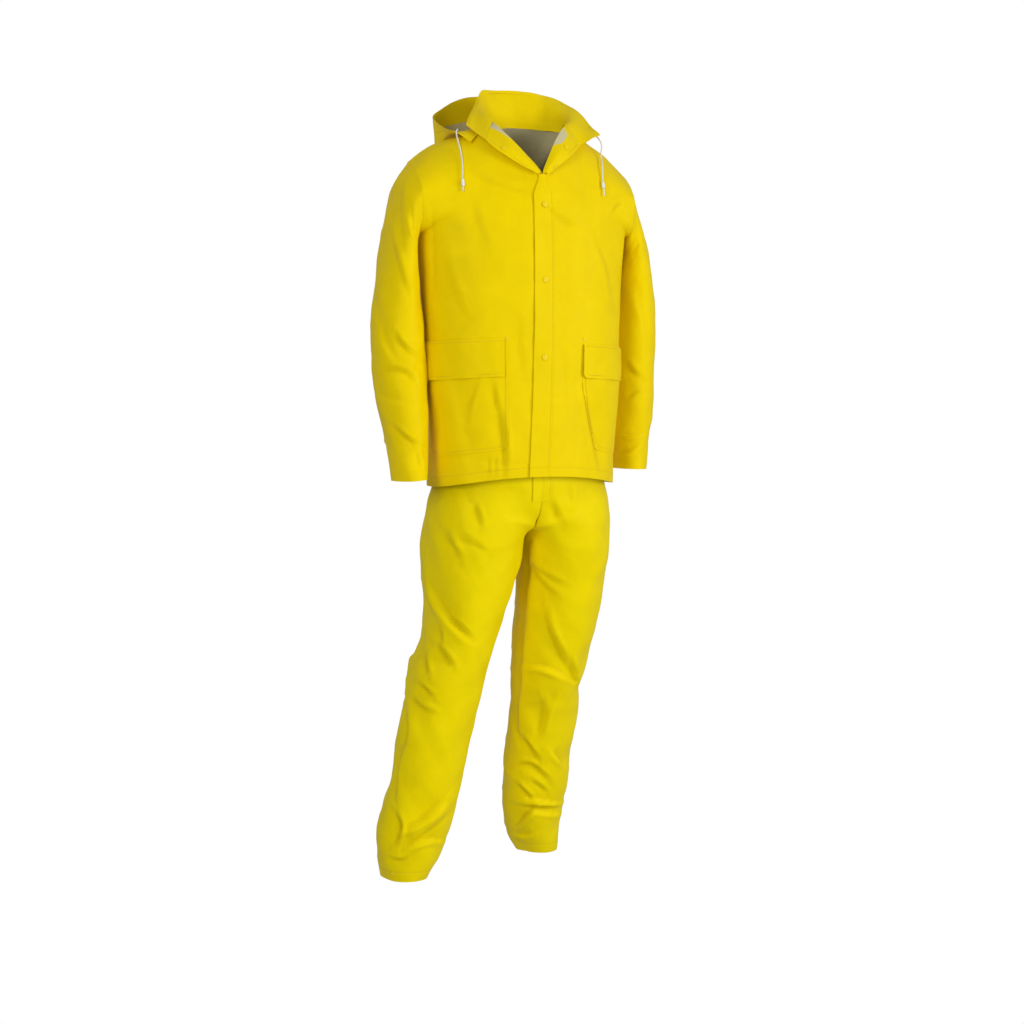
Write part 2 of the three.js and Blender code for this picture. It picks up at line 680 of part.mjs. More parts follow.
// The inner edge of the left pocket leans with the cloth. Ends are the last three columns of each row.
const POCKET = {
  right: { rows: [1.28, 1.7, 3, 4, 5, 5.7], columns: [0.3, 1, 2, 3, 4, 5, 6, 7, 7.82] },
  left: {
    rows: [1.28, 2, 3, 4, 5, 5.5],
    columns: [0.3, 1, 2, 3, 4, 5, 6, 7, 7.42],
    ends: [[5.3, 5.55, 5.75], [6, 6.15, 6.3], [6, 6.85, 6.97], [6, 7, 7.38], [6, 7, 7.42], [6, 7, 7.42]],
  },
};
const FLAP = {
  right: { rows: [4.28, 4.7, 5, 5.7, 5.86], columns: [0.3, 1, 2, 3, 4, 5, 6, 7, 7.55] },
  left: { rows: [4.2, 4.6, 5, 5.45, 5.62], columns: [0.3, 1, 2, 3, 4, 5, 6, 7, 7.45] },
};
for (const side of ["right", "left"]) {
  const item = find(`jacket_front_${side}`);
  laidOn(`pocket_${side}`, item, POCKET[side], LAY_GAP, 0.3);
  laidOn(`pocket_flap_${side}`, item, FLAP[side], 2 * LAY_GAP + CLOTH, 0.2);
}

// A strip over the middle seam of two panels. Widths are the reach on the right and on the left panel.
function overSeam(name, right, left, rows, reachRight, reachLeft, lastShare) {
  const end = right.grid[0].length - 1;
  const grid = [];
  const normals = [];
  rows.forEach((r, i) => {
    const share = i === rows.length - 1 ? lastShare : 1;
    const stops = [[right, reachRight * share], [right, 2], [left, 2], [left, reachLeft * share * 0.55],
      [left, reachLeft * share]];
    const row = stops.map(([item, reach]) => {
      const a = onPanel(item, r, end).point;
      const b = onPanel(item, r, end - 1).point;
      return onPanel(item, r, end - reach / size(sub(a, b)));
    });
    grid.push(row.map((k) => k.point));
    normals.push(row.map((k) => k.normal));
  });
  suit.add(wallMesh(name, grid, normals, false, 1, LAY_GAP + CLOTH, CLOTH, YELLOW));
}
const FLAP_HALF = 19;
const FLY_HALF = 20;
const upTo = (n) => [...Array(n + 1).keys()];
overSeam("storm_flap", find("jacket_front_right"), find("jacket_front_left"), upTo(LOWER_ROWS + 4), FLAP_HALF,
  FLAP_HALF, 0.55);
overSeam("fly", find("trouser_front_right"), find("trouser_front_left"), [5, 4, 3, 2, 1, 0.2], FLY_HALF,
  FLY_HALF, 1);

// Snaps: small round caps that stand on a piece
function snap(name, place, normal, lift, radius = SNAP_RADIUS) {
  const geometry = new THREE.CylinderGeometry(radius * 0.8, radius, SNAP_HEIGHT, 16);
  const turn = new THREE.Quaternion().setFromUnitVectors(new THREE.Vector3(0, 1, 0), new THREE.Vector3(...normal));
  geometry.applyQuaternion(turn);
  const centre = add(place, scale(normal, lift + SNAP_HEIGHT / 2));
  geometry.translate(centre[0], centre[1], centre[2] - NECK_HEIGHT);
  const mesh = new THREE.Mesh(geometry, SNAP_YELLOW);
  mesh.name = name;
  suit.add(mesh);
}
const onFlap = LAY_GAP + CLOTH + SEAM_GAP + 0.1;
const SNAP_ROWS = [["top", LOWER_ROWS + 1.96], ["middle", 8.12], ["low", 5.04]];
for (const [name, row] of SNAP_ROWS) {
  const k = onPanel(find("jacket_front_left"), row, FRONT_COLUMNS - 0.02);
  snap(`snap_front_${name}`, k.point, k.normal, onFlap);
}
const RIVET = { right: [5.84, 7.72], left: [5.8, 7.36] };
for (const side of ["right", "left"]) {
  const k = onPanel(find(`jacket_front_${side}`), RIVET[side][0], RIVET[side][1]);
  snap(`rivet_pocket_${side}`, k.point, k.normal, SEAM_GAP + 0.1, 3.6);
}

const LAPEL_SNAP = { right: [2.34, 6.2], left: [1.8, 5.8] };
for (const side of ["right", "left"]) {
  const grid = lapelGrid(side);
  const item = { grid, normals: normalsOf(grid, false, side === "right" ? -1 : 1) };
  const k = onPanel(item, LAPEL_SNAP[side][0], LAPEL_SNAP[side][1]);
  snap(`snap_lapel_${side}`, k.point, scale(k.normal, -1), CLOTH + SEAM_GAP + 0.2, 5);
}
const ANKLE = { right: [SEAT.length + 9.6, 2.1], left: [SEAT.length + 10.6, 0.4] };
for (const side of ["right", "left"]) {
  const k = onPanel(find(`trouser_front_${side}`), ANKLE[side][0], ANKLE[side][1]);
  snap(`snap_ankle_${side}`, k.point, k.normal, SEAM_GAP + 0.3, 5);
}

// Drawstrings of the hood: they leave the casing, pass over the rim and lie on the chest
const DRAWSTRING = {
  right: [
    [-147, 9, 1591.2], [-152.4, -1, 1590.2], [-157.2, -10, 1584.2], [-158, -20.4, 1569], [-157.5, -32.5, 1552.5],
    [-159, -52, 1521.5], [-162.6, -63.9, 1492.5], [-163.6, -70.6, 1467],
  ],
  left: [
    [127, -10.6, 1588.9], [133, -16.6, 1586.2], [138.5, -22.6, 1578], [142, -24.4, 1568], [142.2, -21.6, 1550],
    [136.6, -40.6, 1527], [130.6, -58.4, 1495.2], [128.9, -70.6, 1464.8],
  ],
};
const CORD_STEPS = 26;
const END_START = 3;
const END_LENGTH = 13;
for (const side of ["right", "left"]) {
  const route = DRAWSTRING[side].map((p) => new THREE.Vector3(p[0], p[1], p[2] - NECK_HEIGHT));
  const last = route.length - 1;
  const bend = new THREE.CatmullRomCurve3(route.slice(0, last), false, "centripetal");
  const path = new THREE.CurvePath();
  path.add(bend);
  path.add(new THREE.LineCurve3(route[last - 1], route[last]));
  const section = new THREE.Shape();
  for (let k = 0; k < 8; k += 1) {
    const a = (k * Math.PI) / 4;
    section[k ? "lineTo" : "moveTo"]((Math.cos(a) * CORD_WIDTH) / 2, (Math.sin(a) * CORD_WIDTH) / 2);
  }
  const cord = new THREE.Mesh(
    new THREE.ExtrudeGeometry(section, { steps: CORD_STEPS, bevelEnabled: false, extrudePath: path }),
    WHITE,
  );
  cord.name = `drawstring_${side}`;
  suit.add(cord);
  const along = route[last].clone().sub(route[last - 1]).normalize();
  const profile = [[2.1, 0], [2.8, 0.4], [3.2, 3], [3.6, END_LENGTH - 2], [3.4, END_LENGTH], [2.1, END_LENGTH]];
  const points = [...profile, profile[0]].map((q) => new THREE.Vector2(q[0], q[1]));
  const tip = new THREE.LatheGeometry(points, 16);
  tip.applyQuaternion(new THREE.Quaternion().setFromUnitVectors(new THREE.Vector3(0, 1, 0), along));
  const start = route[last - 1].clone().addScaledVector(along, END_START);
  tip.translate(start.x, start.y, start.z);
  const end = new THREE.Mesh(tip, TIP_WHITE);
  end.name = `cord_end_${side}`;
  suit.add(end);
}

export default suit;
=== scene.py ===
"""Two-piece rain suit as it is worn: a hooded jacket with snaps and straight trousers, in coated cloth."""

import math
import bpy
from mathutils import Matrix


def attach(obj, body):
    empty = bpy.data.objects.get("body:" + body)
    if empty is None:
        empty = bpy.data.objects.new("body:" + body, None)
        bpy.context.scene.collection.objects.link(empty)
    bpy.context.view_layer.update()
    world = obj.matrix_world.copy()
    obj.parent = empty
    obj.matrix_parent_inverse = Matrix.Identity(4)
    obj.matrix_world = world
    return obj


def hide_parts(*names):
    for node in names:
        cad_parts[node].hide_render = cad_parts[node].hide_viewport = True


bl_info = {
    "name": "Rain suit",
    "version": (1, 0, 0),
    "blender": (4, 5, 0),
    "location": "View3D > Sidebar > Rain suit",
    "description": "Builds a yellow two-piece rain suit piece by piece",
    "category": "Object",
}

import bpy
import numpy as np
from mathutils import Vector

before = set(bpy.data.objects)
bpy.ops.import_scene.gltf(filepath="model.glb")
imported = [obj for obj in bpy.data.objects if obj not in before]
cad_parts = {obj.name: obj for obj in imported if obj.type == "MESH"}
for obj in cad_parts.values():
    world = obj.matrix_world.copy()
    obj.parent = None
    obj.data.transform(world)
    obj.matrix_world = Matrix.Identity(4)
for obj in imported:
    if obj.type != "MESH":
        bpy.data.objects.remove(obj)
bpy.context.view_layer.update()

# Tables are in millimetres and heights above the wearer's floor. The neck base is the origin.
NECK_HEIGHT = 1560.0
SIDES = ("right", "left")

# Jacket body. [place, centre x, centre y, half width, front depth, back depth, z at side, front, back]
BODY = [
    [0.0, -12, 25, 190, 139, 150, 894, 917, 899],
    [0.14, -11, 24, 191, 138, 149, 960, 978, 964],
    [0.4, -9, 21, 199, 134, 146, 1090, 1100, 1094],
    [0.72, -10, 20, 204, 132, 144, 1246, 1252, 1248],
    [1.0, -12, 26, 216, 136, 134, 1388, 1396, 1400],
]
# Centre line of the front opening. [place, x]
OPENING = [[0.0, -22], [0.4, -14], [0.72, -11], [1.0, -10]]
# Edges of the upper panels. [place, x, y, z]
ARMHOLE_FRONT = {
    "right": [[0, -228, 26, 1388], [0.12, -234, -14, 1391], [0.3, -238, -46, 1418], [0.55, -240, -52, 1462],
              [0.8, -242, -14, 1506], [1, -242, 45, 1528]],
    "left": [[0, 204, 26, 1388], [0.12, 206, -12, 1390], [0.3, 206, -38, 1414], [0.55, 208, -40, 1452],
             [0.8, 216, -2, 1488], [1, 228, 54, 1508]],
}
ARMHOLE_BACK = {
    "right": [[0, -228, 26, 1388], [0.12, -230, 58, 1399], [0.3, -233, 94, 1424], [0.55, -236, 116, 1458],
              [0.8, -239, 96, 1502], [1, -242, 45, 1528]],
    "left": [[0, 204, 26, 1388], [0.12, 206, 58, 1398], [0.3, 209, 96, 1420], [0.55, 216, 122, 1450],
             [0.8, 221, 104, 1484], [1, 228, 54, 1508]],
}
SHOULDER = {
    "right": [[0, -242, 45, 1528], [0.2, -214, 39, 1549], [0.45, -172, 31, 1570], [0.75, -118, 23, 1586],
              [1, -80, 18, 1595]],
    "left": [[0, 228, 54, 1508], [0.2, 199, 50, 1533], [0.45, 162, 44, 1559], [0.75, 112, 30, 1581],
             [1, 76, 20, 1595]],
}
INNER_EDGE = {
    "right": [[0, -10, -110, 1396], [0.25, -9, -104, 1450], [0.4444, -9, -92, 1494], [0.62, -40, -79, 1540],
              [0.78, -70, -54, 1578], [0.89, -85, -16, 1602], [1, -80, 18, 1595]],
    "left": [[0, -10, -110, 1396], [0.25, -9, -104, 1450], [0.4444, -9, -92, 1494], [0.62, 10, -80, 1540],
             [0.78, 38, -54, 1580], [0.89, 66, -16, 1602], [1, 76, 20, 1595]],
}
NAPE = [[0, -80, 18, 1595], [0.22, -66, 54, 1601], [0.5, -1, 84, 1608], [0.78, 62, 55, 1601], [1, 76, 20, 1595]]

# Sleeves. [place, inner x, inner z, outer x, outer z, middle y, front, back, share of the armhole's shape]
SLEEVE = {
    "right": [
        [1, -232, 1358, -268, 1487, 38, 86, 80, 0.55],
        [2, -229, 1320, -285, 1420, 41, 83, 79, 0.2],
        [3, -223.5, 1274, -299, 1336, 42, 80, 78, 0.05],
        [4, -217.5, 1216, -309, 1254, 40, 77, 76, 0],
        [5, -214, 1150, -316, 1174, 35, 74, 72, 0],
        [6, -213.5, 1086, -313, 1096, 26, 71, 68, 0],
        [7, -215.5, 1022, -303, 1024, 12, 66, 62, 0],
        [8, -220, 964, -296, 964, -4, 60, 56, 0],
        [9, -225, 913, -290, 909, -17, 56, 52, 0],
    ],
    "left": [
        [1, 209, 1356, 242, 1448, 52, 80, 78, 0.55],
        [2, 208, 1318, 261, 1394, 61, 79, 77, 0.2],
        [3, 207, 1272, 280, 1320, 69, 78, 76, 0.05],
        [4, 204, 1214, 294, 1246, 77, 76, 75, 0],
        [5, 202, 1150, 298, 1170, 83, 73, 72, 0],
        [6, 201, 1086, 298, 1094, 86, 70, 68, 0],
        [7, 202, 1024, 294, 1026, 85, 66, 63, 0],
        [8, 205, 968, 286, 968, 82, 60, 57, 0],
        [9, 208, 920, 279, 918, 78, 56, 53, 0],
    ],
}
# Seat of the trousers. [z, middle x, front middle y, back middle y, front reach, back reach, share of leg]
SEAT = [
    [1085, -10, -62, 135, -62, 135, 0], [1040, -10, -74, 142, -74, 142, 0], [990, -10, -88, 148, -88, 148, 0],
    [940, -10, -96, 152, -96, 152, 0], [902, -10, -97, 153, -97, 153, 0], [868, -10, -91, 148, -96, 151, 0.35],
    [838, -10, -76, 134, -94, 149, 0.7], [814, -10, -42, 106, -92, 147, 1], [796, -10, 48, 48, -90, 146, 1],
]
# [z, side x, side y]
HIP = {
    "right": [[1085, -152, 42], [1040, -159, 42], [990, -168, 42], [940, -178, 42], [902, -186, 42],
              [868, -195, 42], [838, -201, 43], [814, -206, 44], [796, -209, 44]],
    "left": [[1085, 136, 42], [1040, 143, 42], [990, 152, 43], [940, 162, 45], [902, 170, 46], [868, 175, 48],
             [838, 177, 50], [814, 178, 52], [796, 179, 53]],
}
# [z, side x, side y, inseam x, inseam y, front depth, back depth]
LEG = {
    "right": [
        [741, -211, 45, -15, 48, 126, 104], [662, -208, 42, -42, 46, 116, 99], [592, -213, 38, -66, 42, 104, 92],
        [530, -242, 38, -83, 42, 98, 84], [463, -249, 38, -101, 42, 88, 80], [380, -265, 42, -118, 46, 77, 80],
        [312, -271, 50, -129, 54, 74, 79], [255, -290, 57, -142, 60, 73, 77], [190, -300, 65, -157, 68, 71, 74],
        [145, -297, 70, -174, 72, 67, 70], [104, -289, 76, -196, 78, 60, 62],
    ],
    "left": [
        [712, 172, 58, -1, 56, 124, 102], [634, 164, 65, -4, 62, 114, 97], [557, 148, 75, -6, 72, 104, 89],
        [506, 140, 83, -4, 82, 98, 83], [472, 132, 90, -3, 88, 90, 80], [420, 138, 101, -2, 99, 76, 78],
        [360, 134, 116, -3, 113, 74, 78], [299, 129, 132, -4, 130, 72, 77], [250, 131, 145, -1, 143, 71, 76],
        [212, 128, 156, 2, 154, 70, 74], [160, 122, 171, 14, 169, 66, 70], [112, 124, 184, 40, 182, 58, 61],
    ],
}
# Collar, along the neck seam. [station, seam x, y, z, roll x, y, z, free edge x, y, z]
COLLAR = [
    [0, -111, -56, 1565, -125, -30, 1584, -136, -6, 1600],
    [1, -101, -34, 1589, -111, -8, 1604, -123, 16, 1616],
    [2, -87, -13, 1606, -96, 14, 1624, -107, 40, 1632],
    [3, -80, 20, 1599, -79, 42, 1634, -84, 78, 1660],
    [4, -54, 66, 1606, -57, 82, 1644, -62, 104, 1681],
    [5, 0, 86, 1610, 0, 98, 1647, 0, 113, 1684],
    [6, 52, 66, 1606, 58, 82, 1643, 62, 107, 1677],
    [7, 76, 22, 1599, 84, 46, 1632, 103, 82, 1660],
    [8, 70, -11, 1606, 96, 14, 1620, 127, 31, 1625],
    [9, 78, -31, 1587, 104, -14, 1601, 131, -4, 1601],
    [10, 85, -50, 1563, 112, -42, 1577, 137, -29, 1587],
]
# Lapels. [place on the inner edge, middle x, y, z, free edge x, y, z]
LAPEL = {
    "right": [[0.475, -15, -94, 1505, -19, -95, 1501], [0.56, -38, -91, 1523, -47, -91, 1515],
              [0.68, -66, -79, 1549, -78, -82, 1534], [0.8, -86, -55, 1573, -98, -71, 1549],
              [0.885, -99, -37, 1587, -110.5, -57, 1563.5]],
    "left": [[0.475, -2, -94, 1505, 2, -95, 1501], [0.56, 13, -91, 1525, 22, -90, 1517],
             [0.68, 37, -79, 1551, 46, -82, 1533], [0.8, 62, -56, 1573, 68, -68, 1549],
             [0.885, 77, -34, 1585, 84.5, -51, 1561.5]],
}
# Hood, round from the right. [station, seam x, y, z, low x, y, z, belly x, y, z, rim x, y, z]
HOOD = [
    [0, -112, -24, 1584, -121, -28, 1579, -130, -34, 1571, -137, -36, 1563],
    [1, -104, 2, 1602, -122, 2, 1593, -140, 0, 1587, -155, -5, 1583],
    [2, -96, 32, 1600, -126, 36, 1590, -154, 38, 1584, -169, 40, 1597],
    [3, -80, 48, 1604, -116, 92, 1556, -160, 104, 1562, -168, 98, 1621],
    [4, -54.5, 67.6, 1608.9, -84, 134, 1532, -122, 166, 1556, -130, 152, 1650],
    [5, -29.6, 81, 1611.5, -44, 156, 1522, -62, 196, 1556, -66, 178, 1676],
    [6, 0, 87.4, 1612.8, 0, 162, 1519, 0, 203, 1556, 0, 186, 1681],
    [7, 28.9, 80.9, 1611.4, 42, 156, 1522, 58, 196, 1552, 60, 178, 1668],
    [8, 52.8, 67.6, 1608.8, 80, 134, 1532, 110, 164, 1548, 114, 150, 1640],
    [9, 82, 52, 1602, 108, 94, 1556, 136, 106, 1558, 140, 96, 1604],
    [10, 104, 34, 1600, 122, 38, 1592, 134, 38, 1588, 140, 36, 1594],
    [11, 105, 2, 1600, 117, 0, 1592, 126, -4, 1588, 131, -8, 1586],
    [12, 85, -22, 1588, 90, -26, 1581, 93, -31, 1573, 97, -36, 1566],
]
# Drawstrings, the points of their solids. [x, y, z]
DRAWSTRING = {
    "right": [[-147, 9, 1591.2], [-152.4, -1, 1590.2], [-157.2, -10, 1584.2], [-158, -20.4, 1569],
              [-157.5, -32.5, 1552.5], [-159, -52, 1521.5], [-162.6, -63.9, 1492.5], [-163.6, -70.6, 1467]],
    "left": [[127, -10.6, 1588.9], [133, -16.6, 1586.2], [138.5, -22.6, 1578], [142, -24.4, 1568],
             [142.2, -21.6, 1550], [136.6, -40.6, 1527], [130.6, -58.4, 1495.2], [128.9, -70.6, 1464.8]],
}

# Folds as they are seen from the camera. Across is to the right of the neck in the camera's view.
# [across, z, across, z, across, z, half width, depth], and a negative depth stands out
SEEN_FOLDS = {
    "jacket": [
        [-126, 1510, -64, 1481, -5, 1470, 10, 2.2], [31, 1438, 58, 1417, 91, 1403, 7, 1.8],
        [-111, 1448, -100, 1404, -83, 1360, 10, 1.6], [166, 1263, 154, 1320, 130, 1375, 9, 2.6],
        [162, 1432, 172, 1447, 183, 1455, 6, 2.2], [-23, 1232, -21, 1176, -12, 1120, 8, 1.2],
        [-196, 1436, -194, 1356, -195, 1273, 5, -1.6], [-62, 1045, -53, 989, -52, 915, 9, 3.6],
        [141, 917, 124, 1005, 105, 1092, 8, 3.4], [-100, 1105, -116, 1062, -124, 1020, 6, 1.3],
        [-72, 1103, -68, 1072, -62, 1045, 6, 1.8], [-81, 960, -80, 939, -82, 917, 3.6, 1.2],
        [-68, 960, -66, 939, -68, 917, 3.6, 1.2], [-174, 1355, -150, 1278, -116, 1211, 12, 1.2],
        [58, 1221, 70, 1104, 66, 988, 9, 1], [-196, 1074, -184, 1006, -193, 927, 8, 1.2],
        [-116, 946, -58, 935, -19, 938, 7, -1],
    ],
    "sleeve_right": [
        [-210, 1417, -219, 1475, -237, 1515, 8, 1.8], [-244, 1518, -253, 1451, -246, 1377, 9, 1.8],
        [-281, 1415, -260, 1339, -233, 1261, 9, 2.4], [-218, 1376, -225, 1400, -230, 1425, 6, 3],
        [-262, 1195, -247, 1172, -219, 1149, 7, 4], [-285, 1122, -247, 1122, -220, 1097, 8, 4],
        [-270, 1019, -237, 992, -214, 984, 6, 3.4], [-220, 967, -214, 949, -208, 930, 6, 2.4],
        [-295, 1211, -282, 1163, -258, 1140, 8, -2.2], [-303, 1075, -267, 1062, -228, 1059, 7, -1.6],
    ],
    "sleeve_left": [
        [222, 1377, 213, 1367, 207, 1349, 7, 2.6], [196, 1138, 208, 1120, 225, 1109, 7, 3],
        [225, 1083, 212, 1073, 198, 1067, 6, 2.4], [238, 993, 213, 989, 190, 993, 5, 2.4],
        [226, 973, 203, 958, 183, 955, 6, 2.6], [206, 1283, 223, 1223, 232, 1162, 9, -1.6],
    ],
    "leg_right": [
        [-110, 862, -101, 842, -97, 819, 7, 3], [-144, 799, -117, 791, -87, 771, 8, 3.2],
        [-170, 807, -156, 783, -140, 756, 9, 4.6], [-115, 597, -169, 650, -202, 716, 9, 5.7],
        [-196, 667, -204, 708, -215, 753, 6, -3.2], [-219, 698, -211, 669, -196, 654, 6, 4.1],
        [-179, 621, -175, 606, -175, 589, 5, 3.2], [-162, 639, -141, 626, -114, 602, 6, 3.2],
        [-186, 584, -169, 567, -151, 545, 7, 5.4], [-211, 570, -209, 547, -202, 526, 7, 5.4],
        [-223, 507, -208, 498, -191, 483, 6, 4.6], [-234, 476, -217, 463, -190, 454, 6, 4.3],
        [-247, 369, -235, 417, -245, 464, 7, -4.6], [-262, 272, -257, 325, -246, 385, 7, -4.6],
        [-270, 248, -260, 215, -274, 181, 7, 6.2], [-173, 272, -210, 240, -260, 215, 9, 6.8],
        [-165, 253, -195, 224, -238, 194, 8, -3.2], [-169, 182, -212, 191, -260, 166, 6, 5.4],
        [-283, 156, -265, 151, -246, 156, 5, 3],
    ],
    "leg_left": [
        [44, 870, 51, 845, 65, 822, 7, 3], [79, 898, 81, 880, 79, 858, 6, 2.4], [6, 735, 18, 703, 53, 673, 8, 3.5],
        [2, 738, 30, 717, 72, 696, 6, 3], [-4, 623, 1, 701, 4, 774, 7, -4.9], [-12, 472, -11, 546, -5, 635, 7, -4.9],
        [-19, 375, -18, 428, -13, 489, 7, -4.1], [28, 639, 44, 583, 87, 507, 11, 6.2],
        [91, 493, 42, 521, -8, 528, 7, 5.7], [83, 546, 89, 518, 95, 485, 6, 4.3],
        [22, 454, 24, 421, 12, 367, 11, 3.8], [31, 374, 41, 421, 61, 465, 9, -2.7],
        [-18, 375, -2, 351, 18, 324, 7, 5.1], [75, 305, 62, 325, 48, 342, 7, 4.6],
        [-25, 309, 6, 310, 41, 276, 6, 4.9], [-29, 271, -12, 254, 6, 233, 6, 5.4], [0, 281, 21, 266, 37, 250, 5, 3.2],
        [71, 222, 31, 233, -4, 239, 5, 5.9], [69, 215, 21, 223, -35, 225, 6, -3.8],
        [67, 197, 42, 204, 12, 210, 5, 4.9], [12, 219, -12, 193, -33, 163, 6, 5.9],
        [6, 157, -17, 152, -38, 152, 5, 3.5],
    ],
}
# The same for the side that the camera doesn't see
HIDDEN_FOLDS = {
    "jacket": [
        [-60, 1500, -110, 1440, -170, 1400, 10, 3], [-10, 1490, 60, 1440, 120, 1405, 11, 3.2],
        [-120, 1330, -90, 1230, -100, 1120, 11, 2.2], [40, 1320, 60, 1180, 40, 1040, 12, 2.4],
        [-170, 1180, -100, 1160, -40, 1175, 8, 2], [20, 1120, 80, 1100, 130, 1120, 7, 1.8],
        [-40, 1000, -50, 950, -46, 905, 8, 2], [90, 1010, 98, 950, 92, 905, 8, 2.2],
        [-235, 1440, -225, 1380, -232, 1320, 7, 2.6], [118, 1400, 112, 1340, 120, 1270, 7, 2.6],
    ],
    "sleeve_right": [
        [-310, 1340, -290, 1300, -262, 1280, 7, 2.4], [-335, 1220, -300, 1190, -262, 1180, 8, 3.6],
        [-330, 1160, -300, 1150, -258, 1156, 7, 3.2], [-322, 1090, -290, 1070, -262, 1075, 7, 2.6],
        [-300, 990, -280, 975, -245, 985, 6, 2.4], [-316, 1420, -300, 1380, -290, 1330, 8, 2.2],
    ],
    "sleeve_left": [
        [228, 1300, 205, 1270, 175, 1262, 7, 2.4], [236, 1190, 205, 1180, 168, 1188, 8, 3.4],
        [234, 1130, 200, 1118, 166, 1128, 7, 3], [228, 1040, 200, 1030, 170, 1044, 6, 2.4],
        [222, 970, 200, 960, 178, 968, 6, 2.2], [215, 1400, 205, 1360, 200, 1310, 8, 2.2],
    ],
    "leg_right": [
        [-70, 830, -120, 800, -180, 790, 9, 3.4], [-75, 790, -130, 740, -190, 715, 8, 2.8],
        [-120, 640, -165, 610, -215, 605, 8, 2.6], [-135, 560, -190, 548, -250, 560, 8, 4],
        [-140, 520, -200, 505, -262, 520, 8, 3.6], [-150, 470, -205, 455, -262, 470, 7, 2.6],
        [-190, 380, -230, 330, -240, 270, 9, 2.4], [-200, 235, -250, 222, -300, 238, 7, 3.2],
        [-205, 190, -255, 176, -310, 190, 7, 3.4], [-215, 145, -260, 135, -305, 146, 6, 2.4],
    ],
    "leg_left": [
        [-60, 830, -10, 800, 60, 792, 9, 3.2], [-50, 780, 10, 735, 80, 716, 8, 2.8],
        [-40, 640, 20, 620, 80, 628, 8, 2.4], [-45, 545, 20, 535, 78, 548, 8, 4],
        [-48, 500, 15, 490, 72, 505, 8, 3.4], [-50, 450, 10, 440, 66, 452, 7, 2.6],
        [-55, 350, -20, 300, -10, 250, 9, 2.2], [-66, 240, -10, 228, 50, 240, 7, 3.4],
        [-66, 205, -15, 196, 46, 206, 7, 3.6], [-62, 160, -15, 150, 44, 160, 6, 2.6],
    ],
}

# Rows and columns of the panel grids in the solids, which the pieces on a panel are placed by
LOWER_ROWS, UPPER_ROWS, FRONT_COLUMNS, BACK_COLUMNS = 10, 9, 10, 28
NECK_COLUMNS = 8
POCKET = {"right": (1.28, 5.7, 0.3, 7.82), "left": (1.28, 5.5, 0.3, 7.42)}
FLAP = {"right": (4.28, 5.86, 0.3, 7.55), "left": (4.2, 5.62, 0.3, 7.45)}
RIVET = {"right": (5.84, 7.72), "left": (5.8, 7.36)}
# Inner edge of the left pocket, which leans with the cloth. [row, column]
LEANING_EDGE = [[1.28, 5.75], [2, 6.25], [3, 6.97], [4, 7.38], [5, 7.42], [5.5, 7.42]]
# Snaps on the lapels, [place across, place along], and on the ankles, [level, column]
LAPEL_SNAP = {"right": (0.78, 0.62), "left": (0.6, 0.58)}
ANKLE_SNAP = {"right": (18.6, 2.1), "left": (19.6, 0.4)}
FULL_TURN = 2 * UPPER_ROWS
# A row of the fronts is about 50 mm high. Stitched hems are 20 mm from the edge, here also in rows
ROW = 50.0
HEM = 20.0
HEM_ROW = HEM / ROW
CUFF_ROW = 17 - 2 * HEM / 55
# Top seams of the storm flap and the fly, from the middle, and of the hood's casing, as a share of the way up
FLAP_SEAM = 15.0
FLY_SEAM = 16.0
CASING = 0.86
# Height above which the trousers are under the jacket, with shallow folds
UNDER_JACKET = 900.0
# Where two parts of a panel join and how far round it is eased, in rows or levels, then the span of the average
UNDERARM_JOIN = (10.3, 2.0)
UNDERARM_EASE = 1.9
SEAT_JOIN = (7.4, 1.5)
SEAT_EASE = 1.6
# Sign of the grids' turn on each side
TURN = {"right": 1, "left": -1}
# The camera's right, and the way toward the camera, seen from above
VIEW_SIDE = (0.9397, -0.3420)
VIEW_AHEAD = (-0.3420, -0.9397)


def paired(rows, columns):
    return np.broadcast_arrays(np.asarray(rows, float), np.asarray(columns, float))


def hermite(start, end, leave, arrive, t):
    """A smooth run from start to end, with the slope given at each."""
    s = 1 - t
    return (1 + 2 * t) * s * s * start + t * s * s * leave + t * t * (3 - 2 * t) * end + t * t * (t - 1) * arrive


def slope_between(before, after):
    """Slope at a point from the rises on its two sides, level where they turn, so that nothing overshoots."""
    both, total = before * after, before + after
    return np.where(both > 0, 2 * both / np.where(total == 0, 1, total), 0)


def follow(rows, at):
    """A smooth curve through the rows of a table, whose first column is the place along it."""
    table = np.asarray(rows, float)
    x, v = table[:, 0], table[:, 1:]
    at = np.asarray(at, float)
    rise = (v[1:] - v[:-1]) / (x[1:] - x[:-1])[:, None]
    slope = np.concatenate([rise[:1], slope_between(rise[:-1], rise[1:]), rise[-1:]])
    i = np.clip(np.searchsorted(x, at, side="right") - 1, 0, len(x) - 2)
    width = (x[i + 1] - x[i])[..., None]
    t = np.clip((at[..., None] - x[i][..., None]) / width, 0, 1)
    return hermite(v[i], v[i + 1], width * slope[i], width * slope[i + 1], t)


def mix(a, b, t):
    return a + (b - a) * t


def join(*columns):
    return np.stack(np.broadcast_arrays(*columns), axis=-1)


def smooth(low, high, x):
    t = np.clip((x - low) / (high - low), 0, 1)
    return t * t * (3 - 2 * t)


def hump(x, place, reach):
    """1 at a place, falling to 0 beyond its reach."""
    return np.exp(-(((x - place) / reach) ** 2))


def groove(x, place, reach, depth):
    return depth * hump(x, place, reach)


def unit(p):
    return p / np.maximum(np.linalg.norm(p, axis=-1, keepdims=True), 1e-9)


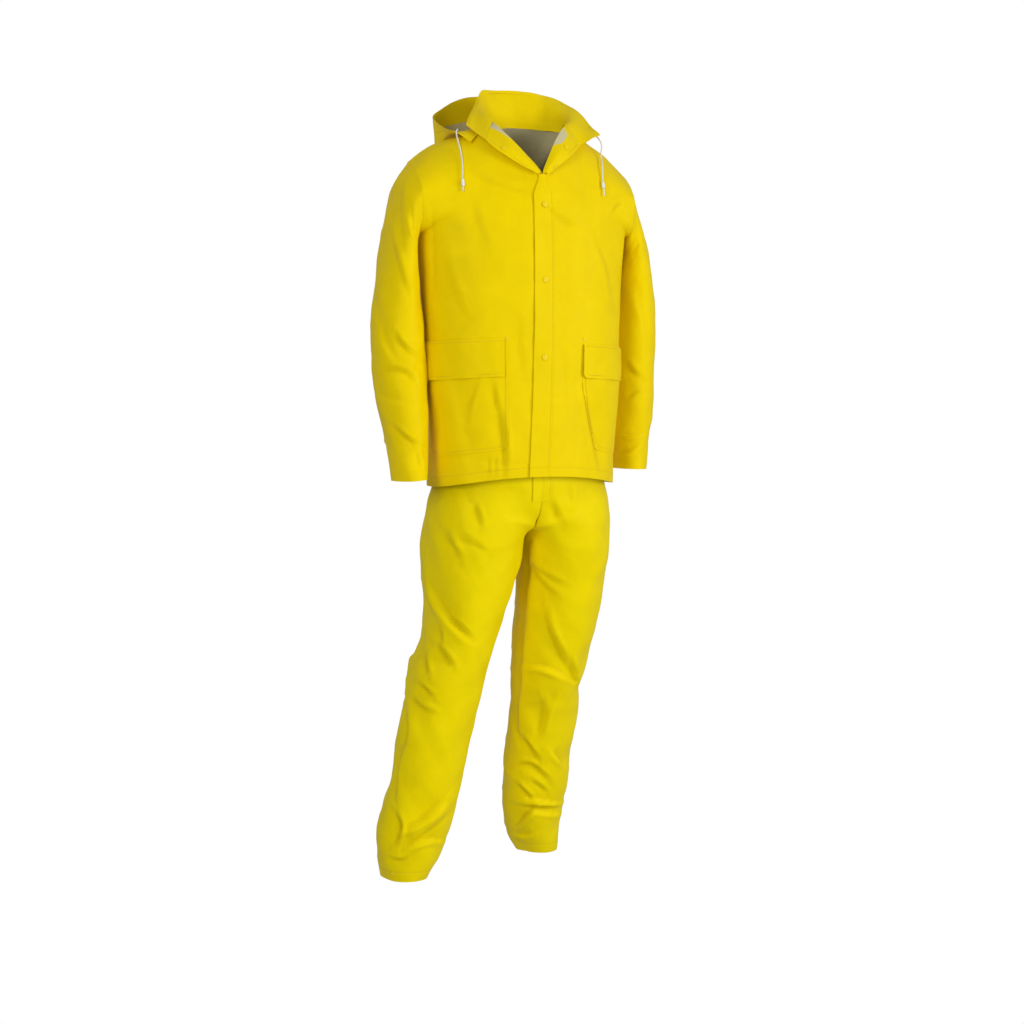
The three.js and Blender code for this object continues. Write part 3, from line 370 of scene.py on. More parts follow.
def body_point(place, degrees):
    """A point of the jacket's ring. 0 is the wearer's left and 90 the front."""
    cx, cy, half, front, back, side, ahead, behind = np.moveaxis(follow(BODY, place), -1, 0)
    c, s = np.cos(np.radians(degrees)), np.sin(np.radians(degrees))
    depth = np.where(s > 0, front, back)
    height = mix(side, np.where(s > 0, ahead, behind), s * s)
    x = cx + half * np.sign(c) * np.abs(c) ** 0.94
    y = cy - depth * np.sign(s) * np.abs(s) ** 0.94
    return join(x, y, height)


def opening_angle(place):
    body = follow(BODY, place)
    c = (follow(OPENING, place)[..., 0] - body[..., 0]) / body[..., 2]
    return 90 - np.sign(c) * np.degrees(np.arcsin(np.abs(c) ** (1 / 0.94)))


def ring_turn(p, depth):
    return np.degrees(np.arcsin(np.clip(np.abs(p[..., 1] - 26) / depth, 0, 1)))


def upper_patch(low, high, first, second, u, v, reach_first, reach_second):
    """Fills the upper part of a panel between the underarm ring, the shoulder and two edges."""
    def column(s):
        p, q = low(s, v), high(s)
        bend = join(mix(p[..., 0], q[..., 0], 0.45), mix(p[..., 1], q[..., 1], 0.1), mix(p[..., 2], q[..., 2], 0.62))
        t = v[..., None]
        return mix(mix(p, bend, t), mix(bend, q, t), t)

    start, end = np.zeros_like(u), np.ones_like(u)
    pull_first = (first(v) - column(start)) * (np.maximum(1 - u, 0) ** reach_first)[..., None]
    pull_second = (second(v) - column(end)) * (np.maximum(u, 0) ** reach_second)[..., None]
    return column(u) + pull_first + pull_second


def eased(surface, rows, columns, amount, reach):
    """A surface averaged along its rows, to take the bend out of the join of two parts."""
    total = 0
    for step, weight in ((-1.0, 0.12), (-0.55, 0.22), (0.0, 0.32), (0.55, 0.22), (1.0, 0.12)):
        total = total + weight * surface(rows + step * reach * amount, columns)
    return total


def front_panel(side, rows, columns):
    """Points of a front. Row 0 is the hem, 10 the underarm and 19 the shoulder, column 10 the opening."""
    rows, columns = paired(rows, columns)
    amount = hump(rows, *UNDERARM_JOIN) * smooth(0.2, 2.5, columns)
    return eased(lambda r, c: plain_front(side, r, c), rows, columns, amount, UNDERARM_EASE)


def plain_front(side, rows, columns):
    u = columns / FRONT_COLUMNS
    place = np.clip(rows / LOWER_ROWS, 0, 1)
    lower = body_point(place, mix(180.0 if side == "right" else 0.0, opening_angle(place), u))
    v = np.clip((rows - LOWER_ROWS) / UPPER_ROWS, 0, 1)

    def low(s, t):
        p = follow(ARMHOLE_FRONT[side], t)
        turn = np.where(p[..., 1] < 26, 1, -1) * ring_turn(p, 136)
        start = 180 - turn if side == "right" else turn
        return body_point(np.ones_like(t), mix(start, opening_angle(np.ones_like(t)), s))

    upper = upper_patch(
        low,
        lambda s: follow(SHOULDER[side], s),
        lambda t: follow(ARMHOLE_FRONT[side], t),
        lambda t: follow(INNER_EDGE[side], t),
        u, v, 3, 1.6,
    )
    return np.where((rows <= LOWER_ROWS)[..., None], lower, upper)


def back_panel(rows, columns):
    """Points of the back, from the wearer's right seam, column 0, to the left one, column 28."""
    rows, columns = paired(rows, columns)
    amount = hump(rows, *UNDERARM_JOIN) * smooth(0.2, 3, columns) * smooth(0.2, 3, BACK_COLUMNS - columns)
    return eased(plain_back, rows, columns, amount, UNDERARM_EASE)


def plain_back(rows, columns):
    place = np.clip(rows / LOWER_ROWS, 0, 1)
    lower = body_point(place, 180 + 180 * columns / BACK_COLUMNS)
    v = np.clip((rows - LOWER_ROWS) / UPPER_ROWS, 0, 1)

    def low(s, t):
        right = 180 + ring_turn(follow(ARMHOLE_BACK["right"], t), 134)
        left = 360 - ring_turn(follow(ARMHOLE_BACK["left"], t), 134)
        return body_point(np.ones_like(t), mix(right, left, s))

    def high(s):
        at = s * BACK_COLUMNS
        right = follow(SHOULDER["right"], at / FRONT_COLUMNS)
        left = follow(SHOULDER["left"], (BACK_COLUMNS - at) / FRONT_COLUMNS)
        nape = follow(NAPE, (at - FRONT_COLUMNS) / NECK_COLUMNS)
        at = at[..., None]
        return np.where(at <= FRONT_COLUMNS, right, np.where(at >= FRONT_COLUMNS + NECK_COLUMNS, left, nape))

    upper = upper_patch(
        low, high,
        lambda t: follow(ARMHOLE_BACK["right"], t),
        lambda t: follow(ARMHOLE_BACK["left"], t),
        columns / BACK_COLUMNS, v, 6, 6,
    )
    return np.where((rows <= LOWER_ROWS)[..., None], lower, upper)


def sleeve(side, rows, turns):
    """A sleeve from the armhole, row 0, to the cuff, row 17. A whole turn is 18."""
    rows, turns = paired(rows, turns)
    turns = np.mod(turns, FULL_TURN)
    ahead = follow(ARMHOLE_FRONT[side], turns / UPPER_ROWS)
    behind = follow(ARMHOLE_BACK[side], (FULL_TURN - turns) / UPPER_ROWS)
    armhole = np.where((turns <= UPPER_ROWS)[..., None], ahead, behind)
    low, high = np.array(ARMHOLE_FRONT[side][0][1:]), np.array(ARMHOLE_FRONT[side][-1][1:])
    angle = np.pi * turns / UPPER_ROWS

    def oval(inner, outer, front, back):
        middle = mix(inner, outer, (0.5 - 0.5 * np.cos(angle))[..., None])
        deep = np.where(np.sin(angle) > 0, front, back)
        return join(middle[..., 0], middle[..., 1] - deep * np.sin(angle), middle[..., 2])

    def section(place):
        in_x, in_z, out_x, out_z, y, front, back, share = np.moveaxis(follow(SLEEVE[side], place), -1, 0)
        q = oval(join(in_x, y, in_z), join(out_x, y, out_z), front, back)
        return q + (armhole - oval(low, high, 90.0, 84.0)) * np.maximum(share, 0)[..., None]

    whole = section(np.clip(1 + (rows - 1) / 2, 1, 9))
    first = section(np.ones_like(rows))
    leave = (section(np.full_like(rows, 1.25)) - first) * 2
    t = np.clip(rows, 0, 1)[..., None]
    cap = hermite(armhole, first, first - armhole, leave, t)
    return np.where((rows < 1)[..., None], cap, whole)


def trouser_levels(side, face):
    """Table of a trouser panel's rows. [level, z, then the four points of its curve]"""
    sign = 1 if side == "right" else -1
    levels = []
    for k, (z, x, front_y, back_y, front_reach, back_reach, share) in enumerate(SEAT):
        hip = HIP[side][k]
        end_y, reach = (front_y, front_reach) if face == "front" else (back_y, back_reach)
        levels.append((z, (hip[1], hip[2]), (x, end_y), reach, share))
    for z, side_x, side_y, seam_x, seam_y, front, back in LEG[side]:
        reach = side_y - front if face == "front" else side_y + back
        levels.append((z, (side_x, side_y), (seam_x, seam_y), reach, 1))
    rows = []
    for k, (z, start, end, reach, share) in enumerate(levels):
        lean = math.cos(share * math.pi / 2) * 0.5523 * abs(start[0] - end[0])
        a_y = start[1] - mix(0.5523 * (start[1] - end[1]), 4 / 3 * (start[1] - reach), share)
        b_y = end[1] - share * 4 / 3 * (end[1] - reach)
        rows.append([k, z, *start, start[0], a_y, end[0] - sign * lean, b_y, *end])
    return rows


def panel_heights(side):
    return np.array([row[1] for row in trouser_levels(side, "front")])


def level_at(side, z):
    """The level of a trouser panel at a height."""
    heights = panel_heights(side)
    return np.interp(-z, -heights, np.arange(len(heights)))


def trouser_panel(side, face, levels, columns):
    """Points of a trouser panel. Level 0 is the waist, column 0 the outer seam and 10 the middle or inseam."""
    levels, columns = paired(levels, columns)
    amount = hump(levels, *SEAT_JOIN) * smooth(0, 4.5, 10 - columns)
    level_table = trouser_levels(side, face)
    return eased(lambda r, c: plain_trouser(level_table, r, c), levels, columns, amount, SEAT_EASE)


def plain_trouser(level_table, levels, columns):
    k = follow(level_table, levels)
    t = (columns / 10)[..., None]
    s = 1 - t
    flat = s**3 * k[..., 1:3] + 3 * s * s * t * k[..., 3:5] + 3 * s * t * t * k[..., 5:7] + t**3 * k[..., 7:9]
    return join(flat[..., 0], flat[..., 1], k[..., 0])


def across(stations, t):
    """A band that passes a first, a middle and a last point, columns 0-2, 3-5 and 6-8."""
    a, b, c = stations[..., 0:3], stations[..., 3:6], stations[..., 6:9]
    first, second = (b - a) * 2, (c - b) * 2
    middle = slope_between(first, second)
    t = np.asarray(t, float)[..., None]
    lower = hermite(a, b, first / 2, middle / 2, np.clip(t * 2, 0, 1))
    upper = hermite(b, c, middle / 2, second / 2, np.clip(t * 2 - 1, 0, 1))
    return np.where(t <= 0.5, lower, upper) + np.where(t < 0, first * t, 0)


def collar(stations, t):
    stations, t = paired(stations, t)
    return across(follow(COLLAR, stations), t)


def lapel(side, u, t):
    u, t = paired(u, t)
    place = mix(LAPEL[side][0][0], LAPEL[side][-1][0], u)
    roll = follow(INNER_EDGE[side], place) + np.array([0, -0.4, 1.4])
    return across(np.concatenate([roll, follow(LAPEL[side], place)], axis=-1), t)


def hood(stations, t):
    stations, t = paired(stations, t)
    k = follow(HOOD, stations)
    places = np.array([0, 0.34, 0.62, 1.0])
    p = k.reshape(k.shape[:-1] + (4, 3))
    rise = (p[..., 1:, :] - p[..., :-1, :]) / (places[1:] - places[:-1])[:, None]
    inner = slope_between(rise[..., :-1, :], rise[..., 1:, :])
    slope = np.concatenate([rise[..., :1, :], inner, rise[..., -1:, :]], axis=-2)
    i = np.clip(np.searchsorted(places, t, side="right") - 1, 0, 2)
    take = lambda a, n: np.take_along_axis(a, n[..., None, None].repeat(3, -1), axis=-2)[..., 0, :]
    width = (places[i + 1] - places[i])[..., None]
    w = np.clip((t - places[i])[..., None] / width, 0, 1)
    return hermite(take(p, i), take(p, i + 1), width * take(slope, i), width * take(slope, i + 1), w)


def facing(surface, rows, columns, sign, step=0.02):
    """Outward normals of a surface, from its own points close by."""
    along = surface(rows, columns + step) - surface(rows, columns - step)
    up = surface(rows + step, columns) - surface(rows - step, columns)
    return unit(np.cross(along, up)) * sign


def fold_line(across_at, z, row):
    """How far a fold moves the cloth in, at places in the camera's view."""
    x0, z0, x1, z1, x2, z2, width, depth = row
    near = (
        (across_at > min(x0, x1, x2) - 9 * width) & (across_at < max(x0, x1, x2) + 9 * width)
        & (z > min(z0, z1, z2) - 9 * width) & (z < max(z0, z1, z2) + 9 * width)
    )
    out = np.zeros_like(z)
    if not near.any():
        return out
    p = np.stack([across_at[near], z[near]], axis=-1)
    t = np.linspace(0, 1, 11)[:, None]
    ends = np.array([[x0, z0], [x2, z2]], float)
    pull = 2 * np.array([x1, z1]) - ends.mean(0)
    line = (1 - t) ** 2 * ends[0] + 2 * t * (1 - t) * pull + t * t * ends[1]
    best = np.full(len(p), 1e9)
    where = np.zeros(len(p))
    aside = np.zeros(len(p))
    for k in range(10):
        d = line[k + 1] - line[k]
        w = np.clip(((p - line[k]) @ d) / (d @ d), 0, 1)
        off = p - (line[k] + w[:, None] * d)
        far = np.hypot(off[:, 0], off[:, 1])
        closer = far < best
        best = np.where(closer, far, best)
        where = np.where(closer, (k + w) / 10, where)
        aside = np.where(closer, np.sign(d[0] * off[:, 1] - d[1] * off[:, 0]), aside)
    taper = np.sin(np.pi * (0.05 + 0.9 * where)) ** 0.8
    steep = np.where(aside > 0, 1.5, 0.3)
    valley = np.exp(-((best * steep / width) ** 1.2))
    ridge = hump(best, 1.15 * width, 0.75 * width) * (aside > 0)
    out[near] = 1.7 * depth * taper * (valley - 0.6 * ridge)
    return out


# Slow swells of the cloth. [group, wave per metre in x, y, z, phase, height]
SWELLS = {
    "jacket": [[5.1, 2.0, 1.3, 0.4, 1.5], [8.3, -3.1, 2.2, 1.9, 1.2], [3.3, 6.2, 4.1, 4.2, 1.0],
               [11.7, 7.4, -1.6, 2.7, 0.8], [2.1, -9.0, 7.7, 5.5, 0.7], [14.9, -11.3, 3.9, 0.9, 0.5]],
    "sleeve_right": [[9.7, 7.1, 5.3, 0.8, 1.3], [4.9, -12.5, 8.9, 2.2, 1.1], [15.1, 6.3, -11.7, 4.4, 0.8]],
    "sleeve_left": [[8.9, -7.7, 6.1, 3.1, 1.3], [6.3, 11.9, -8.1, 0.7, 1.1], [14.3, 5.9, 12.7, 5.2, 0.8]],
    "leg_right": [[7.7, 5.3, 3.9, 1.2, 1.6], [10.9, -8.1, 5.7, 3.6, 1.2], [4.3, 12.7, -9.1, 0.5, 0.9],
                  [16.3, 9.7, 8.3, 2.1, 0.6]],
    "leg_left": [[8.1, -5.9, 4.3, 2.6, 1.6], [9.7, 8.9, -6.3, 5.1, 1.2], [5.1, -13.1, 8.7, 1.4, 0.9],
                 [15.7, -10.3, 9.1, 4.0, 0.6]],
}


def swell(group, p):
    out = np.zeros(p.shape[:-1])
    for wx, wy, wz, phase, height in SWELLS[group]:
        turn = 2 * np.pi * (p[..., 0] * wx + p[..., 1] * wy + p[..., 2] * wz) / 1000
        wave = turn + phase + 0.7 * np.sin(0.61 * turn - 2 * phase)
        out += 0.62 * height * (4 * np.abs(np.mod(wave / (2 * np.pi), 1) - 0.5) - 1 + 0.35 * np.sin(wave))
    fine = sum(
        np.abs(np.sin(np.pi * (p @ np.array(k)) / 1000 + 1.7 * k[0]))
        for k in ((13.0, 5.0, -9.0), (-11.0, 9.0, 12.0), (4.0, -15.0, 16.0))
    )
    return out - 0.3 * (fine - 1.9)


def cloth_height(group, p, n, depth):
    """How far the folds and swells lift the cloth off its solid's form, in millimetres."""
    sideways = p[..., 0] * VIEW_SIDE[0] + p[..., 1] * VIEW_SIDE[1]
    toward = n[..., 0] * VIEW_AHEAD[0] + n[..., 1] * VIEW_AHEAD[1]
    seen = smooth(-0.2, 0.2, toward)
    hollow = np.zeros(p.shape[:-1])
    for row in SEEN_FOLDS[group]:
        hollow += fold_line(sideways, p[..., 2], row) * seen
    for row in HIDDEN_FOLDS[group]:
        hollow += fold_line(sideways, p[..., 2], row) * (1 - seen)
    return depth * (swell(group, p) - hollow)


def stops(low, high, count, *close):
    """Even places from low to high, with a few more beside each close one, given as (place, reach)."""
    places = list(np.linspace(low, high, count + 1))
    for place, reach in close:
        places += [place - reach, place - 0.5 * reach, place, place + 0.5 * reach, place + reach]
    places = sorted(p for p in places if low <= p <= high)
    kept = [places[0]]
    for p in places[1:]:
        if p - kept[-1] > 0.12 * (high - low) / count:
            kept.append(p)
    kept[-1] = high
    return np.array(kept)


def to_row(p):
    """Millimetres above the floor to metres in the row frame."""
    q = np.array(p, float)
    q[..., 2] -= NECK_HEIGHT
    return q / 1000


def ring_faces(rings, around, closed=True):
    """Faces of a tube of rings of points, with or without its two ends."""
    faces = []
    for i in range(rings - 1):
        for k in range(around):
            n = (k + 1) % around
            faces.append((i * around + k, i * around + n, (i + 1) * around + n, (i + 1) * around + k))
    if closed:
        faces += [tuple(range(around - 1, -1, -1)), tuple(range((rings - 1) * around, rings * around))]
    return faces


def run_of(line):
    """The length of a line up to each of its points."""
    return np.concatenate([[0], np.cumsum(np.linalg.norm(np.diff(line, axis=0), axis=1))])


def along_line(at, run, line):
    return np.stack([np.interp(at, run, line[:, k]) for k in range(3)], axis=1)


def finish_object(obj, nodes=(), colours=()):
    bpy.context.scene.collection.objects.link(obj)
    for material in colours:
        obj.data.materials.append(material)
    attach(obj, "root")
    if nodes:
        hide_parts(*nodes)
    return obj


def mesh_object(name, points, faces, slots=None, sharp=None):
    mesh = bpy.data.meshes.new(name)
    mesh.from_pydata([tuple(p) for p in points], [], [tuple(f) for f in faces])
    mesh.shade_smooth()
    if slots is not None:
        mesh.polygons.foreach_set("material_index", np.asarray(slots, dtype=np.int32))
    if sharp:
        marked = {tuple(sorted(e)) for e in sharp}
        for edge in mesh.edges:
            if tuple(sorted(edge.vertices)) in marked:
                edge.use_edge_sharp = True
    mesh.update()
    return bpy.data.objects.new(name, mesh)


def shell_object(name, outer, inner, around=False, outside_slot=0, inside_slot=1):
    """A thin closed piece of cloth between two grids. Outside faces follow the grid's own turn."""
    rows, columns = outer.shape[:2]
    points = np.concatenate([outer.reshape(-1, 3), inner.reshape(-1, 3)])
    base = rows * columns
    index = np.arange(base).reshape(rows, columns)
    nxt = np.roll(index, -1, axis=1) if around else index[:, 1:]
    now = index if around else index[:, :-1]
    quads = np.stack([now[:-1], nxt[:-1], nxt[1:], now[1:]], axis=-1).reshape(-1, 4)
    shape = (rows - 1, now.shape[1])
    out_slot = np.broadcast_to(outside_slot, shape).reshape(-1)
    in_slot = np.broadcast_to(inside_slot, shape).reshape(-1)
    rim = []
    for line_now, line_next, flip in ((now[0], nxt[0], False), (now[-1], nxt[-1], True)):
        q = np.stack([line_now, line_now + base, line_next + base, line_next], axis=-1)
        rim.append(q[:, ::-1] if flip else q)
    if not around:
        for line, flip in ((index[:, 0], True), (index[:, -1], False)):
            q = np.stack([line[:-1], line[:-1] + base, line[1:] + base, line[1:]], axis=-1)
            rim.append(q[:, ::-1] if flip else q)
    rim = np.concatenate(rim)
    faces = np.concatenate([quads, quads[:, [0, 3, 2, 1]] + base, rim])
    a, b, c = (points[quads[:, k]] for k in (0, 1, 3))
    turn = np.cross(b - a, c - a)
    thick = (outer - inner)[:-1, : shape[1]].reshape(-1, 3)
    if (turn * thick).sum() < 0:
        faces = faces[:, ::-1]
    slots = np.concatenate([out_slot, in_slot, np.zeros(len(rim), int)])
    sharp = []
    for line in (index[0], index[-1]) + (() if around else (index[:, 0], index[:, -1])):
        pairs = list(zip(line[:-1], line[1:]))
        if around:
            pairs.append((line[-1], line[0]))
        sharp += pairs + [(p + base, q + base) for p, q in pairs]
    return mesh_object(name, to_row(points), faces, slots, sharp)


def cut_of(outer, around=False):
    """The flat cut of a grid of cloth: its width, its length and its area, in metres."""
    g = outer / 1000
    if around:
        g = np.concatenate([g, g[:, :1]], axis=1)
    width = np.linalg.norm(np.diff(g, axis=1), axis=-1).sum(axis=1)
    length = np.linalg.norm(np.diff(g, axis=0), axis=-1).sum(axis=0)
    a, b, c, d = g[:-1, :-1], g[:-1, 1:], g[1:, 1:], g[1:, :-1]
    area = (np.linalg.norm(np.cross(b - a, c - a), axis=-1) + np.linalg.norm(np.cross(c - a, d - a), axis=-1)).sum() / 2
    w, l = round(float(width.max()) + 0.002, 3), round(float(length.max()) + 0.002, 3)
    return w, l, round(float(area), 4)


def declare(outer, around):
    w, l, area = cut_of(outer, around)


# Materials

def new_material(name):
    material = bpy.data.materials.new(name)
    material.use_nodes = True
    tree = material.node_tree
    return material, tree, tree.nodes["Principled BSDF"]


def node(tree, kind, **values):
    made = tree.nodes.new(kind)
    for key, value in values.items():
        setattr(made, key, value)
    return made


def add_bump(tree, height, distance, strength, normal=None):
    """A bump on top of another one, if given."""
    bump = node(tree, "ShaderNodeBump")
    bump.inputs["Strength"].default_value = strength
    bump.inputs["Distance"].default_value = distance
    tree.links.new(height, bump.inputs["Height"])
    if normal is not None:
        tree.links.new(normal, bump.inputs["Normal"])
    return bump.outputs["Normal"]


def noise_height(tree, scale, detail, rough, distance, strength, normal=None, distortion=0.0):
    """A bump driven by noise in the object's own space, and the noise itself."""
    where = node(tree, "ShaderNodeTexCoord")
    noise = node(tree, "ShaderNodeTexNoise")
    for socket, value in (("Scale", scale), ("Detail", detail), ("Roughness", rough), ("Distortion", distortion)):
        noise.inputs[socket].default_value = value
    tree.links.new(where.outputs["Object"], noise.inputs["Vector"])
    return add_bump(tree, noise.outputs["Fac"], distance, strength, normal), noise.outputs["Fac"]


def tone_between(tree, driver, low, high, dark, light):
    """A colour that goes from dark to light as its driver goes from low to high."""
    ramp = node(tree, "ShaderNodeValToRGB")
    first, last = ramp.color_ramp.elements
    first.position, last.position = low, high
    first.color, last.color = (*dark, 1), (*light, 1)
    tree.links.new(driver, ramp.inputs["Fac"])
    return ramp.outputs["Color"]


def coated_cloth(settings, name, colour):
    """Coated cloth: a smooth satin skin with a fine grain, soft handling marks and painted shade darkening its creases.
    """
    material, tree, shader = new_material(name)
    wrinkle, slow = noise_height(tree, 17.0, 3.0, 0.6, 0.0035, 0.16, distortion=0.8)
    crumple, _ = noise_height(tree, 70.0, 2.0, 0.5, 0.0009, 0.16, wrinkle, distortion=0.3)
    grain, _ = noise_height(tree, 1500.0, 2.0, 0.6, 0.00006, 0.35, crumple)
    tree.links.new(grain, shader.inputs["Normal"])
    colour = np.array(colour[:3])
    tone = tone_between(tree, slow, 0.25, 0.75, colour * 0.955, np.minimum(colour * 1.035, 1))
    # Painted shade: the colour darkens towards a greyish tone where the surface is hollow (low pointiness), standing in
    # for the shade in the creases
    shape = node(tree, "ShaderNodeNewGeometry")
    crease = tone_between(tree, shape.outputs["Pointiness"], 0.44, 0.5, (0.80, 0.78, 0.70), (1, 1, 1))
    # Multiplies the painted crease shade into the cloth's tone
    painted_crease_shade = node(tree, "ShaderNodeMix", data_type="RGBA", blend_type="MULTIPLY")
    painted_crease_shade.inputs[0].default_value = 0.8
    tree.links.new(tone, painted_crease_shade.inputs[6])
    tree.links.new(crease, painted_crease_shade.inputs[7])
    tree.links.new(painted_crease_shade.outputs[2], shader.inputs["Base Color"])
    rough = node(tree, "ShaderNodeMapRange")
    rough.inputs["To Min"].default_value = settings.cloth_roughness - 0.05
    rough.inputs["To Max"].default_value = settings.cloth_roughness + 0.07
    tree.links.new(slow, rough.inputs["Value"])
    tree.links.new(rough.outputs["Result"], shader.inputs["Roughness"])
    shader.inputs["Specular IOR Level"].default_value = 0.14
    shader.inputs["Specular Tint"].default_value = (1.0, 0.86, 0.25, 1)
    return material


def knit(tree):
    """A close knit: fine ribs one way and shorter ones across."""
    where = node(tree, "ShaderNodeTexCoord")
    ribs = None
    for direction, scale in (("X", 420.0), ("Z", 560.0)):
        wave = node(tree, "ShaderNodeTexWave", bands_direction=direction)
        wave.inputs["Scale"].default_value = scale / 6.2832
        wave.inputs["Distortion"].default_value = 0.6
        tree.links.new(where.outputs["Object"], wave.inputs["Vector"])
        ribs = add_bump(tree, wave.outputs["Fac"], 0.00018, 0.5, ribs)
    return ribs


def uneven_colour(name, colour, shade, span, grain, roughness, ground=None):
    """A colour that darkens to a shade of itself over a fine grain, which may lie on a coarser ground."""
    material, tree, shader = new_material(name)
    normal, slow = noise_height(tree, *grain, ground(tree) if ground else None)
    tree.links.new(normal, shader.inputs["Normal"])
    base = np.array(colour[:3])
    tree.links.new(tone_between(tree, slow, *span, base * shade, base), shader.inputs["Base Color"])
    shader.inputs["Roughness"].default_value = roughness
    return material, shader


def backing_cloth(settings):
    """The uncoated inside: a pale close knit."""
    grain = (60.0, 4.0, 0.6, 0.001, 0.3)
    material, shader = uneven_colour("cloth_backing", settings.backing_colour, 0.86, (0, 1), grain, 0.92, knit)
    shader.inputs["Specular IOR Level"].default_value = 0.2
    shader.inputs["Sheen Weight"].default_value = 0.15
    return material


def moulded_plastic(name, colour, roughness, coat=0.0):
    grain = (900.0, 2.0, 0.5, 0.00005, 0.3)
    material, shader = uneven_colour(name, colour, 0.93, (0, 1), grain, roughness)
    shader.inputs["Coat Weight"].default_value = coat
    shader.inputs["Specular IOR Level"].default_value = 0.25
    return material


def thread_material(name, colour, roughness):
    """Spun thread or cord: fine fibres and a slightly uneven tone."""
    grain = (1400.0, 4.0, 0.7, 0.0002, 0.6)
    material, shader = uneven_colour(name, colour, 0.8, (0.3, 0.7), grain, roughness)
    shader.inputs["Sheen Weight"].default_value = 0.04
    return material


MADE = {}


def material_of(name, settings):
    """Each material is made once."""
    if name not in MADE:
        MADE[name] = {
            "cloth": lambda: coated_cloth(settings, "coated_cloth", settings.cloth_colour),
            "trousers": lambda: coated_cloth(settings, "coated_cloth_trousers", settings.trouser_colour),
            "backing": lambda: backing_cloth(settings),
            "snap": lambda: moulded_plastic("snap_plastic", settings.snap_colour, 0.45, 0.0),
            "cord": lambda: thread_material("cord_white", settings.cord_colour, 0.85),
            "tip": lambda: moulded_plastic("tip_plastic", settings.tip_colour, 0.22, 0.4),
            "thread": lambda: thread_material("sewing_thread", settings.thread_colour, 0.6),
        }[name]()
    return MADE[name]


# Pieces as they show, which the pieces sewn on them follow

def surface_of(piece):
    """The surface of a piece over rows and columns, and the sign that turns its normals outward."""
    side = piece.rpartition("_")[2]
    turn = TURN.get(side, -1)
    if piece.startswith("jacket_front"):
        return lambda r, c: front_panel(side, r, c), turn
    if piece.startswith("sleeve"):
        return lambda r, c: sleeve(side, r, c), turn
    if piece.startswith("lapel"):
        return lambda r, c: lapel(side, c, r), -turn
    if piece.startswith("trouser"):
        face = piece.split("_")[1]
        return lambda r, c: trouser_panel(side, face, r, c), -turn if face == "front" else turn
    if piece == "jacket_back":
        return back_panel, turn
    band = collar if piece == "collar" else hood
    return lambda r, c: band(c, r), turn


def form(piece, rows, columns):
    """Points and outward normals of a piece, in the form of its solid."""
    rows, columns = paired(rows, columns)
    surface, turn = surface_of(piece)
    return surface(rows, columns), facing(surface, rows, columns, turn)


def facing_gap(side, rows, turns):
    """The right sleeve swells a little where it hangs against the body."""
    if side == "left":
        return 0.0
    inner = smooth(3.2, 1.0, np.minimum(turns, FULL_TURN - turns))
    return 2.4 * inner * smooth(2.5, 5, rows) * smooth(15.5, 12, rows)


def relief(piece, p, n, rows, columns, depth):
    """How far a panel as it shows stands off its form, with its folds, hems and seams."""
    side = piece.rpartition("_")[2]
    if piece.startswith("trouser"):
        lift = cloth_height("leg_" + side, p, n, depth) * np.where(p[..., 2] > UNDER_JACKET, 0.35, 1.0)
        foot = LEG[side][-1][0]
        return lift - groove(p[..., 2] - foot, HEM, 1.6, 0.4) + seam_welts(p, columns)
    torso = cloth_height("jacket", p, n, depth)
    if piece.startswith("sleeve"):
        lift = mix(torso, cloth_height(piece, p, n, depth), smooth(0, 2.2, rows))
        return lift - groove(rows, CUFF_ROW, 0.05, 0.3) - groove(rows, 0, 0.14, 1.0) + facing_gap(side, rows, columns)
    lift = torso - groove(rows, HEM_ROW, 0.045, 0.35) - groove(columns, 0, 0.09, 0.8)
    return lift - groove(columns, BACK_COLUMNS, 0.09, 0.8) if piece == "jacket_back" else lift


def skin(piece, rows, columns, depth):
    """Points and normals of a panel as it shows."""
    rows, columns = paired(rows, columns)
    p, n = form(piece, rows, columns)
    return p + n * relief(piece, p, n, rows, columns, depth)[..., None], n


def seam_welts(p, columns):
    """Where a trouser panel turns under at its seams: a slight edge, firmer down the inseam."""
    inseam = 1.9 * np.exp(-(((10 - columns) / 0.55) ** 1.2)) * smooth(830, 760, p[..., 2])
    return inseam - groove(columns, 10.0, 0.1, 1.1) - groove(columns, 0.0, 0.09, 0.7)


def share_seams(panels):
    """Where panels meet at a seam, gives their points one normal. A panel is (points, normals)."""
    seams = {}
    for points, normals in panels:
        for r in range(points.shape[0]):
            for c in {0, points.shape[1] - 1} if 0 < r < points.shape[0] - 1 else range(points.shape[1]):
                key = tuple(np.round(points[r, c] * 2).astype(int))
                seams.setdefault(key, []).append((normals, r, c))
    for group in seams.values():
        if len(group) > 1:
            total = unit(sum(n[r, c] for n, r, c in group))
            for n, r, c in group:
                n[r, c] = total


# The add-on's settings

def colour_setting(name, description, red, green, blue):
    return bpy.props.FloatVectorProperty(
        name=name, description=description, subtype="COLOR", size=4, min=0, max=1, default=(red, green, blue, 1.0))


